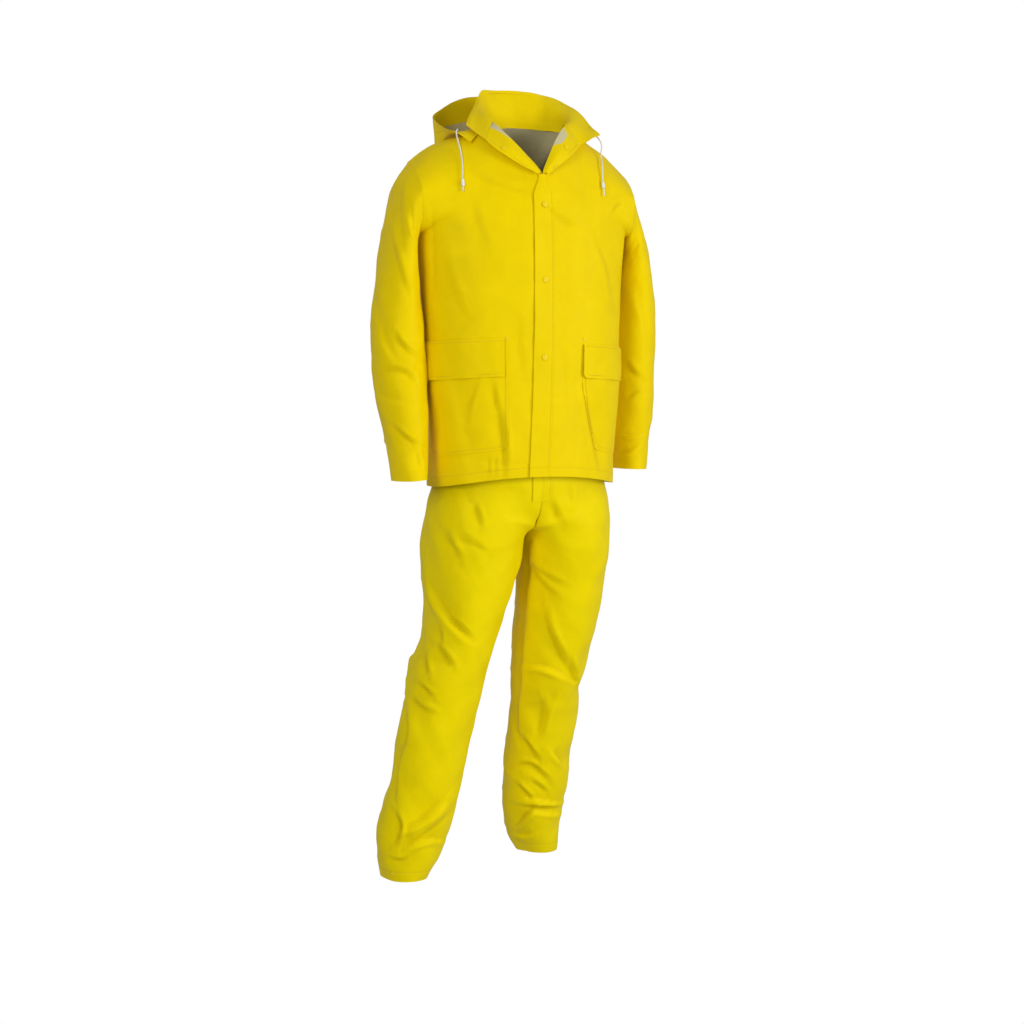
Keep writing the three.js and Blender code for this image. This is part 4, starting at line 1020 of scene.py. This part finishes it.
class SuitSettings(bpy.types.PropertyGroup):
    cloth_colour: colour_setting("Cloth colour", "Colour of the coated outside", 0.85, 0.635, 0.0)
    trouser_colour: colour_setting("Trouser colour", "Colour of the trousers, a slightly greener dye lot",
                                   0.85, 0.675, 0.0)
    backing_colour: colour_setting("Backing colour", "Colour of the uncoated inside", 0.66, 0.59, 0.33)
    snap_colour: colour_setting("Snap colour", "Colour of the snaps and rivets", 0.88, 0.66, 0.0)
    cord_colour: colour_setting("Cord colour", "Colour of the drawstrings", 0.82, 0.80, 0.74)
    tip_colour: colour_setting("Cord end colour", "Colour of the plastic cord ends", 0.86, 0.86, 0.83)
    thread_colour: colour_setting("Thread colour", "Colour of the sewing thread", 0.76, 0.56, 0.004)
    cloth_roughness: bpy.props.FloatProperty(
        name="Cloth roughness", description="0 is a mirror and 1 is dull", default=0.52, min=0.1, max=1.0)
    cloth_thickness: bpy.props.FloatProperty(
        name="Cloth thickness", description="Thickness of one layer of cloth as it shows", default=0.0009,
        min=0.0003, max=0.002, unit="LENGTH")
    fold_depth: bpy.props.FloatProperty(
        name="Fold depth", description="1 is the folds as photographed, 0 is smooth cloth", default=1.0,
        min=0.0, max=1.4)
    cord_diameter: bpy.props.FloatProperty(
        name="Cord diameter", description="Thickness of the drawstrings", default=0.003, min=0.0015, max=0.004,
        unit="LENGTH")
    stitch_length: bpy.props.FloatProperty(
        name="Stitch length", description="From one stitch to the next", default=0.004, min=0.002, max=0.008,
        unit="LENGTH")


def suit_settings():
    return bpy.context.scene.rain_suit


def sew(piece, outer, normals, flat, settings, colour="cloth", around=False):
    """Makes a piece of cloth in place of its solid, and works out its flat cut, which is not kept."""
    inner = outer - normals * settings.cloth_thickness * 1000
    obj = shell_object(f"{piece}_cloth", outer, inner, around)
    finish_object(obj, [piece], [material_of(colour, settings), material_of("backing", settings)])
    declare(flat, around)


def sew_panels(grids, settings, colour):
    """Sews panels given as (piece, rows, columns). Where they meet at a seam they share one normal."""
    panels = []
    for piece, rows, columns in grids:
        rows, columns = np.meshgrid(rows, columns, indexing="ij")
        panels.append((piece, rows, columns, *form(piece, rows, columns)))
    share_seams([panel[3:] for panel in panels])
    for piece, rows, columns, p, n in panels:
        outer = p + n * relief(piece, p, n, rows, columns, settings.fold_depth)[..., None]
        sew(piece, outer, n, p, settings, colour, piece.startswith("sleeve"))


# Camera and stage

class SUIT_OT_camera(bpy.types.Operator):
    """Camera at the photograph's place"""

    bl_idname = "suit.camera"
    bl_label = "Camera"

    def execute(self, context):
        data = bpy.data.cameras.new("camera")
        data.lens = 74.04
        data.sensor_width = 36.0
        camera = bpy.data.objects.new("camera", data)
        context.scene.collection.objects.link(camera)
        turn_to(camera, (-1.470, -3.934, -0.390), (-0.034, 0.012, -0.7205))
        context.scene.camera = camera
        return {"FINISHED"}


# Strength of the room's own light, and the lamps. [name, place, aim, width and height, watts]
ROOM_LIGHT = 0.38
LIGHTS = [
    ["key", (2.9, -3.1, 0.2), (0, 0, -0.75), (1.2, 2.2), 78],
    ["fill", (-2.9, -3.0, 0.7), (-0.05, 0, -0.45), (1.2, 1.6), 50],
    ["top", (0.1, -0.7, 2.2), (0, 0.05, -0.5), (1.6, 1.2), 3],
    ["low", (0.3, -3.9, -1.2), (0, 0, -1.1), (1.6, 0.9), 27],
    ["back", (0.9, 4.0, 0.4), (0, 0, -0.7), (1.6, 2.4), 50],
]


def turn_to(obj, place, aim):
    """Puts a camera or light at a place, looking at a point."""
    obj.location = place
    obj.rotation_mode = "QUATERNION"
    obj.rotation_quaternion = (Vector(aim) - Vector(place)).to_track_quat("-Z", "Y")


def area_light(name, place, aim, size, power):
    data = bpy.data.lights.new(name, "AREA")
    data.shape = "RECTANGLE"
    data.size, data.size_y = size
    data.energy = power
    light = bpy.data.objects.new(name, data)
    bpy.context.scene.collection.objects.link(light)
    turn_to(light, place, aim)


class SUIT_OT_stage(bpy.types.Operator):
    """White studio: a large key light from the viewer's right, softer ones from the left, below, above and behind"""

    bl_idname = "suit.stage"
    bl_label = "Stage"

    def execute(self, context):
        world = bpy.data.worlds.new("studio")
        context.scene.world = world
        world.use_nodes = True
        tree = world.node_tree
        tree.nodes.clear()
        output, choose, ray = (node(tree, "ShaderNode" + kind) for kind in ("OutputWorld", "MixShader", "LightPath"))
        room, white = node(tree, "ShaderNodeBackground"), node(tree, "ShaderNodeBackground")
        room.inputs["Color"].default_value = (1, 1, 1, 1)
        room.inputs["Strength"].default_value = ROOM_LIGHT
        white.inputs["Color"].default_value = (1, 1, 1, 1)
        white.inputs["Strength"].default_value = 1.0
        tree.links.new(ray.outputs["Is Camera Ray"], choose.inputs["Fac"])
        tree.links.new(room.outputs["Background"], choose.inputs[1])
        tree.links.new(white.outputs["Background"], choose.inputs[2])
        tree.links.new(choose.outputs["Shader"], output.inputs["Surface"])
        for light in LIGHTS:
            area_light(*light)
        context.scene.view_settings.view_transform = "Standard"
        context.scene.view_settings.look = "None"
        context.scene.view_settings.exposure = 0.0
        context.scene.view_settings.gamma = 1.0
        return {"FINISHED"}


# Drawstrings

# Half section of a cord end. [radius, height]
CORD_END = np.array([
    [2.15, 0], [2.6, 0], [2.85, 0.35], [3.0, 1.2], [3.05, 2.2], [2.8, 2.7], [2.8, 3.1], [3.15, 3.6], [3.3, 5],
    [3.4, 8], [3.5, 10.8], [3.55, 11.6], [3.45, 12.4], [3.2, 12.9], [2.9, 13.0], [2.15, 13.0], [2.15, 6.5], [2.15, 0],
])


def cord_route(side):
    """The centre line of a drawstring: a smooth bend through its points, then straight through its end."""
    p = to_row(DRAWSTRING[side])
    bend = p[:-1]
    ends = np.concatenate([[2 * bend[0] - bend[1]], bend, [2 * bend[-1] - bend[-2]]])
    line = []
    for k in range(len(bend) - 1):
        a, b, c, d = ends[k : k + 4]
        t0 = 0.0
        t1 = np.linalg.norm(b - a) ** 0.5
        t2 = t1 + np.linalg.norm(c - b) ** 0.5
        t3 = t2 + np.linalg.norm(d - c) ** 0.5
        for t in np.linspace(t1, t2, 8, endpoint=False):
            ab = (t1 - t) / (t1 - t0) * a + (t - t0) / (t1 - t0) * b
            bc = (t2 - t) / (t2 - t1) * b + (t - t1) / (t2 - t1) * c
            cd = (t3 - t) / (t3 - t2) * c + (t - t2) / (t3 - t2) * d
            abc = (t2 - t) / (t2 - t0) * ab + (t - t0) / (t2 - t0) * bc
            bcd = (t3 - t) / (t3 - t1) * bc + (t - t1) / (t3 - t1) * cd
            line.append((t2 - t) / (t2 - t1) * abc + (t - t1) / (t2 - t1) * bcd)
    for t in np.linspace(0, 1, 8):
        line.append(mix(bend[-1], p[-1], t))
    return np.array(line)


def sides_along(line):
    """Two directions across a line, at each of its points, with no twist."""
    tangent = unit(np.gradient(line, axis=0))
    side = unit(np.cross(tangent[0], [0.3, 0.9, 0.1]))
    sides = []
    for t in tangent:
        side = unit(side - (side @ t) * t)
        sides.append(side)
    return np.array(sides), np.cross(tangent, sides)


def round_points(centre, r, angles, a, b):
    """Rings of points at distances r from the centres, turned by the angles from a toward b."""
    return centre + r[..., None] * (np.cos(angles)[None, :, None] * a + np.sin(angles)[None, :, None] * b)


def twisted_tube(name, line, radius, lay, strands, spacing, frayed):
    """A laid cord: its section has one lobe for each strand and turns along it."""
    around = 12
    run = run_of(line)
    at = np.linspace(0, run[-1], int(run[-1] / spacing) + 1)
    centre = along_line(at, run, line)
    a, b = sides_along(centre)
    angles = np.linspace(0, 2 * np.pi, around, endpoint=False)
    turn = angles[None, :] - 2 * np.pi * at[:, None] / lay
    lobes = 1 + 0.11 * (np.abs(np.cos(0.5 * strands * turn)) - 0.6)
    last = smooth(run[-1] - 0.004, run[-1], at)[:, None] * frayed
    r = radius * lobes * (1 + last * (0.5 * np.sin(5 * angles[None, :] + 400 * at[:, None])))
    points = round_points(centre[:, None], r, angles, a[:, None], b[:, None])
    return mesh_object(name, points.reshape(-1, 3), ring_faces(len(at), around))


def turned(name, start, along, profile, segments=40, flutes=0, flute_depth=0.0, fluted=(0, 0)):
    """A turned piece: (radius, height) pairs swept round an axis, with shallow flutes over some heights."""
    a = unit(np.cross(along, [0.2, 0.9, 0.4]))
    b = np.cross(along, a)
    angles = np.linspace(0, 2 * np.pi, segments, endpoint=False)
    profile = np.array(profile, float)
    r = np.repeat(profile[:, :1], segments, axis=1)
    inside = ((profile[:, 1] >= fluted[0]) & (profile[:, 1] <= fluted[1]))[:, None]
    r = r - inside * flute_depth * (0.5 - 0.5 * np.cos(flutes * angles))[None, :]
    centre = np.array(start)[None, None] + profile[:, 1][:, None, None] * along
    points = round_points(centre, r, angles, a, b).reshape(-1, 3)
    hollow = np.allclose(profile[0], profile[-1])
    return mesh_object(name, points, ring_faces(len(profile), segments, not hollow))


class SUIT_OT_drawstrings(bpy.types.Operator):
    """The two free ends of the hood's drawstring, each with its plastic end"""

    bl_idname = "suit.drawstrings"
    bl_label = "Drawstrings"

    def execute(self, context):
        settings = suit_settings()
        for side in SIDES:
            line = cord_route(side)
            length = float(run_of(line)[-1])
            radius = settings.cord_diameter / 2
            cord = twisted_tube(f"drawstring_{side}_laid", line, radius, 0.0075, 3, 0.0007, 0.6)
            finish_object(cord, [f"drawstring_{side}"], [material_of("cord", settings)])
            p = to_row(DRAWSTRING[side])
            along = unit(p[-1] - p[-2])
            start = p[-2] + along * 0.003
            end = turned(f"cord_end_{side}_fluted", start, along, CORD_END / 1000, 48, 12, 0.00035,
                         (0.0036, 0.0112))
            finish_object(end, [f"cord_end_{side}"], [material_of("tip", settings)])
        return {"FINISHED"}


# Body of the jacket

FRONT_ROWS = stops(0, 10, 104, (HEM_ROW, 0.06), (0.0, 0.03))
UPPER_STOPS = stops(10, 19, 54)
ALL_ROWS = np.concatenate([FRONT_ROWS, UPPER_STOPS[1:]])
COLUMN_STOPS = stops(0, 10, 60, (0.0, 0.1))
BACK_STOPS = np.concatenate([COLUMN_STOPS, np.linspace(10, 18, 31)[1:-1], 28 - COLUMN_STOPS[::-1]])


class SUIT_OT_jacket(bpy.types.Operator):
    """Fronts and back of the jacket, and the sleeves"""

    bl_idname = "suit.jacket"
    bl_label = "Jacket and sleeves"

    def execute(self, context):
        half_turn = UPPER_STOPS - LOWER_ROWS
        turns = np.concatenate([half_turn, FULL_TURN - half_turn[::-1][1:-1]])
        lengths = stops(0, 17, 118, (CUFF_ROW, 0.07), (0.0, 0.12))
        grids = [(f"jacket_front_{side}", ALL_ROWS, COLUMN_STOPS) for side in SIDES]
        grids += [("jacket_back", ALL_ROWS, BACK_STOPS)]
        grids += [(f"sleeve_{side}", lengths, turns) for side in SIDES]
        rests_on = {piece: ["jacket_back"] for piece, _, _ in grids}
        rests_on["jacket_back"] = ["jacket_front_right", "jacket_front_left"]
        sew_panels(grids, suit_settings(), "cloth")
        return {"FINISHED"}


# Trousers

class SUIT_OT_trousers(bpy.types.Operator):
    """Fronts and backs of the trousers"""

    bl_idname = "suit.trousers"
    bl_label = "Trousers"

    def execute(self, context):
        grids, rests_on = [], {}
        for side in SIDES:
            heights = panel_heights(side)
            z = stops(heights[-1], heights[0], 208, (heights[-1] + HEM, 2.4))[::-1]
            columns = stops(0, 10, 62, (0.0, 0.1), (10.0, 0.1))
            for face, other in (("front", "back"), ("back", "front")):
                grids.append((f"trouser_{face}_{side}", level_at(side, z), columns))
                rests_on[f"trouser_{face}_{side}"] = [f"trouser_{other}_{side}"]
        sew_panels(grids, suit_settings(), "trousers")
        return {"FINISHED"}


# Collar, lapels and hood

def band_wave(p):
    return 0.8 * np.sin(0.055 * p[..., 0] + 0.08 * p[..., 2]) + 0.6 * np.sin(0.11 * p[..., 0] - 0.07 * p[..., 1] + 1.3)


def sew_band(piece, rows, columns, thick, puff, slots, settings):
    """A piece that lies open: its grid is the under face and the visible face lies thick above it."""
    r, c = np.meshgrid(rows, columns, indexing="ij")
    p, n = form(piece, r, c)
    share = (r - rows[0]) / (rows[-1] - rows[0])
    full = smooth(0, 0.16, share) * smooth(0, 0.16, 1 - share)
    crease = 0.9 * np.abs(np.sin(0.047 * p[..., 0] - 0.05 * p[..., 1] + 0.031 * p[..., 2])) - 0.5
    under = p + n * ((band_wave(p) + crease) * puff * settings.fold_depth)[..., None]
    over = under - n * (thick * (0.75 + 0.25 * full))[..., None]
    obj = shell_object(f"{piece}_cloth", under, over, False, *slots)
    finish_object(obj, [piece], [material_of("cloth", settings), material_of("backing", settings)])
    declare(p, False)


def middles(places):
    return (places[:-1] + places[1:]) / 2


class SUIT_OT_collar(bpy.types.Operator):
    """The collar and the two lapels, lying open"""

    bl_idname = "suit.collar"
    bl_label = "Collar and lapels"

    def execute(self, context):
        settings = suit_settings()
        rise = stops(-0.07, 1.0, 26, (0.9, 0.03))
        along = stops(0, 10, 130, (0.35, 0.08), (9.65, 0.08))
        sew_band("collar", rise, along, 1.7, 1.2, (0, 0),
                 settings)
        rise, along = stops(0.0, 1.0, 22, (0.86, 0.04)), stops(0, 1, 60)
        t, u = middles(rise)[:, None], middles(along)[None]
        bare = {"right": (u > 0.62) & (t < u - 0.62),
                "left": t < 0.3 * smooth(0.5, 0.62, u) * smooth(0.92, 0.8, u)}
        for side in SIDES:
            sew_band(f"lapel_{side}", rise, along, 1.7, 0.7, (0, np.where(bare[side], 1, 0)),
                     settings)
        return {"FINISHED"}


class SUIT_OT_hood(bpy.types.Operator):
    """The hood, hanging open behind the collar, with a casing along its rim"""

    bl_idname = "suit.hood"
    bl_label = "Hood"

    def execute(self, context):
        rows = stops(0, 1, 52, (CASING, 0.02))
        columns = stops(0, 12, 150)
        high, along = middles(rows)[:, None], middles(columns)[None]
        faced = (high > CASING) | (along < 1.1) | (along > 10.9)
        sew_band("hood", rows, columns, 1.1, 1.5, (0, np.where(faced, 0, 1)),
                 suit_settings())
        return {"FINISHED"}


# Pockets, flaps and strips

def patch_grid(spec, corner, count_rows, count_columns, chamfer=(False, False)):
    """Rows and columns of a pocket or flap on a front, with its lower corners cut round."""
    low, high, first, last = spec
    t = np.concatenate([[0, 0.012, 0.03, 0.055, 0.09], np.linspace(0.13, 0.93, count_rows), [0.965, 0.985, 1]])
    s = np.concatenate([[0, 0.012, 0.028], np.linspace(0.06, 0.94, count_columns), [0.972, 0.988, 1]])
    t, s = np.meshgrid(t, s, indexing="ij")
    height = (high - low) * ROW
    if spec == POCKET["left"]:
        last = follow(LEANING_EDGE, mix(low, high, t))[..., 0]
    down = np.clip(corner - t * height, 0, corner)
    inset = (corner - np.sqrt(np.maximum(corner**2 - down**2, 0))) / 30
    a = first + np.where(chamfer[0], inset, 0)
    b = last - np.where(chamfer[1], inset, 0)
    return mix(low, high, t), mix(a, b, s), t, s


def flap_fall(t):
    """How far a flap comes down to the front beside its top seam, above the pocket's mouth."""
    return 3.4 * smooth(0.91, 1, t)


class SUIT_OT_pockets(bpy.types.Operator):
    """The two patch pockets and their flaps"""

    bl_idname = "suit.pockets"
    bl_label = "Pockets and flaps"

    def execute(self, context):
        settings = suit_settings()
        for side in SIDES:
            front = f"jacket_front_{side}"
            r, c, t, s = patch_grid(POCKET[side], 13.0, 44, 46, (True, True))
            p, n = skin(front, r, c, settings.fold_depth)
            edge = np.minimum(np.minimum(s, 1 - s) * 210, t * 210)
            full = 0.5 + 3.2 * smooth(0, 40, edge) * smooth(0.2, 1.0, t) - groove(edge, 6.0, 1.8, 0.5)
            full = full + 0.5 * np.sin(s * 17 + 2.2 * t) * smooth(4, 24, edge)
            outer = p + n * (full + 0.9)[..., None]
            sew(f"pocket_{side}", outer, n, front_panel(side, r, c), settings)
            r, c, t, s = patch_grid(FLAP[side], 11.0, 22, 46, (side == "right", side == "left"))
            p, n = skin(front, r, c, settings.fold_depth)
            below = (r - FLAP[side][0]) * ROW
            edge = np.minimum(np.minimum(s, 1 - s) * 210, below)
            full = 4.0 + 1.5 * (1 - smooth(0, 60, below)) - flap_fall(t) - groove(edge, 6.0, 1.8, 0.45)
            full = full + 0.7 * np.sin(s * 12 + 0.8) * (1 - smooth(0, 0.8, t))
            outer = p + n * (full + 0.9)[..., None]
            sew(f"pocket_flap_{side}", outer, n, front_panel(side, r, c), settings)
        return {"FINISHED"}


def strip_skin(panel, rows, places, depth):
    """A strip over a middle seam: its points on the form, its points as it shows and their normals.

    Places are in millimetres, less than 0 on the wearer's right panel."""
    found = {}
    for side in SIDES:
        surface, _ = surface_of(f"{panel}_{side}")
        columns = 10 - np.maximum(-TURN[side] * places, 0) / column_width(surface, rows)
        found[side] = surface(rows, columns), *skin(f"{panel}_{side}", rows, columns, depth)
    right, left = found["right"], found["left"]
    flat, shown = (np.where((places > 0)[..., None], left[k], right[k]) for k in (0, 1))
    return flat, shown, unit(mix(right[2], left[2], smooth(-6, 6, places)[..., None]))


def column_width(surface, rows):
    """Width of the last column of a panel, in millimetres."""
    last = surface(rows, np.full_like(rows, 10.0))
    before = surface(rows, np.full_like(rows, 9.5))
    return 2 * np.linalg.norm(last - before, axis=-1)


class SUIT_OT_strips(bpy.types.Operator):
    """The storm flap down the front of the jacket and the fly of the trousers"""

    bl_idname = "suit.strips"
    bl_label = "Storm flap and fly"

    def execute(self, context):
        settings = suit_settings()
        rows = stops(0, 14.3, 150, (HEM_ROW, 0.06))
        share = 1 - 0.7 * smooth(12.6, 14.3, rows)
        places = np.array([-22, -21.6, -20, -18, -15, -12, -8, -3, 2, 7, 11, 13, 14.4, 15.8, 17, 18.2, 19.0])
        r, a = np.meshgrid(rows, places, indexing="ij")
        a = a * share[:, None]
        flat, p, n = strip_skin("jacket_front", r, a, settings.fold_depth)
        free = 1 - smooth(-19, 6, a)
        full = 0.6 + 1.3 * free + 0.5 * free * np.sin(r * 2.1 + 0.7) + 0.3 * free * np.sin(r * 4.7)
        sewn = smooth(12.4, 10.8, r)
        full = full - groove(a, FLAP_SEAM * share[:, None], 1.3, 0.6) * sewn - groove(r, HEM_ROW, 0.045, 0.3)
        full = full - 0.9 * smooth(8, 17, a) * (1 - sewn)
        outer = p + n * (full + 0.9)[..., None]
        sew("storm_flap", outer, n, flat, settings)
        rows = stops(0.2, 5, 60)[::-1]
        places = np.array([-20, -19.6, -18, -16, -13, -9, -4, 1, 6, 11, 14, 15.5, 17, 18.6, 20.0])
        r, a = np.meshgrid(rows, places, indexing="ij")
        flat, p, n = strip_skin("trouser_front", r, a, settings.fold_depth)
        full = 0.6 + 0.7 * (1 - smooth(-20, 0, a)) - groove(a, FLY_SEAM, 1.4, 0.6)
        outer = p + n * (full + 0.9)[..., None]
        sew("fly", outer, n, flat, settings, "trousers")
        return {"FINISHED"}


# Snaps and rivets

SNAP_PROFILE = [(0.0, 0.0), (1.0, 0.0), (1.03, 0.05), (1.01, 0.12), (0.95, 0.17), (0.88, 0.18), (0.82, 0.165),
                (0.74, 0.15), (0.66, 0.155), (0.5, 0.19), (0.25, 0.215), (0.0, 0.22)]


class SUIT_OT_snaps(bpy.types.Operator):
    """Snap caps on the storm flap, lapels and ankles, and the rivets of the pockets"""

    bl_idname = "suit.snaps"
    bl_label = "Snaps and rivets"

    def execute(self, context):
        settings = suit_settings()
        placed = [(f"snap_front_{name}", "jacket_front_left", row, 9.98, 2.5, 6.0)
                  for name, row in (("top", 11.96), ("middle", 8.12), ("low", 5.04))]
        for side in SIDES:
            placed += [
                (f"rivet_pocket_{side}", f"jacket_front_{side}", *RIVET[side], 0.2, 3.6),
                (f"snap_lapel_{side}", f"lapel_{side}", *LAPEL_SNAP[side], 2.1, 5.0),
                (f"snap_ankle_{side}", f"trouser_front_{side}", *ANKLE_SNAP[side], 0.3, 5.0),
            ]
        for name, piece, row, column, lift, radius in placed:
            if piece.startswith("lapel"):
                p, n = form(piece, [row], [column])
                n = -n
            else:
                p, n = skin(piece, [row], [column], settings.fold_depth)
            r = radius / 1000
            profile = [(max(a, 1e-4) * r, b * r * 1.15) for a, b in SNAP_PROFILE]
            cap = turned(f"{name}_cap", to_row(p)[0] + n[0] * lift / 1000, n[0], profile)
            finish_object(cap, [name], [material_of("snap", settings)])
        return {"FINISHED"}


# Stitching

def stitch_mesh(name, lines, settings):
    """Rows of single stitches along lines of points (millimetres) and normals."""
    pitch = settings.stitch_length * 1000
    half = pitch * 0.36
    lengthways = np.array([-1.0, -0.6, 0.0, 0.6, 1.0]) * half
    lift = np.array([-0.35, 0.12, 0.3, 0.12, -0.35])
    radius = np.array([0.2, 0.36, 0.4, 0.36, 0.2])
    around = 5
    turn = np.linspace(0, 2 * np.pi, around, endpoint=False)
    one = np.concatenate([np.ravel(f) for f in ring_faces(len(radius), around, False)]).reshape(-1, 4)
    ends = np.array(ring_faces(len(radius), around)[-2:])
    points, faces, start = [], [], 0
    for p, n in lines:
        run = run_of(p)
        at = np.arange(pitch * 0.7, run[-1] - pitch * 0.5, pitch)
        middle, normal = along_line(at, run, p), unit(along_line(at, run, n))
        ahead = unit(along_line(at + half, run, p) - along_line(at - half, run, p))
        side = unit(np.cross(normal, ahead))
        ring = (
            middle[:, None, None]
            + ahead[:, None, None] * lengthways[None, :, None, None]
            + normal[:, None, None] * (lift[:, None] + radius[:, None] * np.sin(turn))[None, :, :, None]
            + side[:, None, None] * (radius[:, None] * np.cos(turn))[None, :, :, None]
        )
        points.append(ring.reshape(-1, 3))
        for base in start + np.arange(len(at)) * len(radius) * around:
            faces += [*(one + base), *(ends + base)]
        start += len(points[-1])
    obj = mesh_object(name, to_row(np.concatenate(points)), faces)
    return finish_object(obj, (), [material_of("thread", settings)])


class SUIT_OT_stitching(bpy.types.Operator):
    """Top stitching of the hems, cuffs, pockets, flaps, strips, collar, lapels and hood casing"""

    bl_idname = "suit.stitching"
    bl_label = "Stitching"

    def execute(self, context):
        settings = suit_settings()
        depth = settings.fold_depth

        def on_skin(piece, rows, columns, lift=0.0):
            p, n = skin(piece, rows, columns, depth)
            return p + n * lift, n

        def on_top(piece, row, columns, thick):
            p, n = form(piece, row, columns)
            return p - n * thick, -n

        jacket = [on_skin(f"jacket_front_{side}", HEM_ROW, np.linspace(0.1, 9.3, 120)) for side in SIDES]
        p, n = form("jacket_back", HEM_ROW, np.linspace(0.1, 27.9, 320))
        jacket.append((p + n * (cloth_height("jacket", p, n, depth) - 0.9)[..., None], n))
        rows = np.linspace(0.15, 13.0, 320)
        widths = column_width(surface_of("jacket_front_left")[0], rows)
        jacket.append(on_skin("jacket_front_left", rows, 10 - FLAP_SEAM / widths, 0.9))
        jacket += [on_skin(f"sleeve_{side}", CUFF_ROW, np.linspace(0, FULL_TURN, 200), -0.6) for side in SIDES]
        pockets = []
        for side in SIDES:
            front = f"jacket_front_{side}"
            low, high, first, last = POCKET[side]
            inset, reach = 0.2, 0.7
            foot = LEANING_EDGE[0][1] if side == "left" else last
            path = [(high, first + inset), (low + 0.35, first + inset), (low + 0.12, first + reach),
                    (low + 0.12, foot - reach), (low + 0.35, foot - inset)]
            if side == "left":
                path += [(r, c - inset) for r, c in LEANING_EDGE[1:4]]
            path += [(4.5, last - inset)]
            run = np.linspace(0, len(path) - 1, 300)
            r, c = (np.interp(run, range(len(path)), [q[k] for q in path]) for k in (0, 1))
            pockets.append(on_skin(front, r, c, 1.3))
            low, high, first, last = FLAP[side]
            t = np.linspace(0, 1, 90)
            fall = flap_fall(1 - 0.12 / (high - low))
            pockets.append(on_skin(front, high - 0.12, mix(first + 0.1, last - 0.1, t), 4.95 - fall))
            pockets.append(on_skin(front, low + 0.12, mix(first + 0.35, last - 0.35, t), 5.9))
        neck = [on_top("collar", 0.9, np.linspace(0.3, 9.7, 260), 1.7)]
        neck += [on_top(f"lapel_{side}", 0.86, np.linspace(0.1, 0.97, 90), 1.6) for side in SIDES]
        p, n = form("hood", CASING, np.linspace(0.4, 11.6, 320))
        p = p + n * (band_wave(p) * 1.5 * depth)[..., None]
        neck += [(p + turn * n * out, turn * n) for turn, out in ((-1.0, 1.1), (1.0, 0.05))]
        legs = []
        for side in SIDES:
            level = level_at(side, panel_heights(side)[-1] + HEM)
            for face in ("front", "back"):
                legs.append(on_skin(f"trouser_{face}_{side}", level, np.linspace(0.1, 9.9, 130)))
        levels = np.linspace(0.6, 4.9, 90)
        widths = column_width(surface_of("trouser_front_left")[0], levels)
        legs.append(on_skin("trouser_front_left", levels, 10 - FLY_SEAM / widths, 0.9))
        for name, lines in (("jacket", jacket), ("pockets", pockets), ("neck", neck), ("trousers", legs)):
            stitch_mesh(f"stitching_{name}", lines, settings)
        return {"FINISHED"}


OPERATORS = (
    SUIT_OT_camera, SUIT_OT_drawstrings, SUIT_OT_jacket, SUIT_OT_trousers, SUIT_OT_collar, SUIT_OT_hood,
    SUIT_OT_pockets, SUIT_OT_strips, SUIT_OT_snaps, SUIT_OT_stitching, SUIT_OT_stage,
)


class SUIT_PT_panel(bpy.types.Panel):
    """Settings of the suit and a button for each group of pieces"""

    bl_idname = "SUIT_PT_panel"
    bl_label = "Rain suit"
    bl_space_type = "VIEW_3D"
    bl_region_type = "UI"
    bl_category = "Rain suit"

    def draw(self, context):
        settings = context.scene.rain_suit
        for name in SuitSettings.__annotations__:
            self.layout.prop(settings, name)
        for operator in OPERATORS:
            self.layout.operator(operator.bl_idname)


CLASSES = (SuitSettings, *OPERATORS, SUIT_PT_panel)


def register():
    for cls in CLASSES:
        bpy.utils.register_class(cls)
    bpy.types.Scene.rain_suit = bpy.props.PointerProperty(type=SuitSettings)


def unregister():
    del bpy.types.Scene.rain_suit
    for cls in reversed(CLASSES):
        bpy.utils.unregister_class(cls)


def main():
    register()
    bpy.ops.suit.camera()
    bpy.ops.suit.drawstrings()
    bpy.ops.suit.jacket()
    bpy.ops.suit.trousers()
    bpy.ops.suit.collar()
    bpy.ops.suit.hood()
    bpy.ops.suit.pockets()
    bpy.ops.suit.strips()
    bpy.ops.suit.snaps()
    bpy.ops.suit.stitching()
    bpy.ops.suit.stage()


if __name__ == "__main__":
    main()
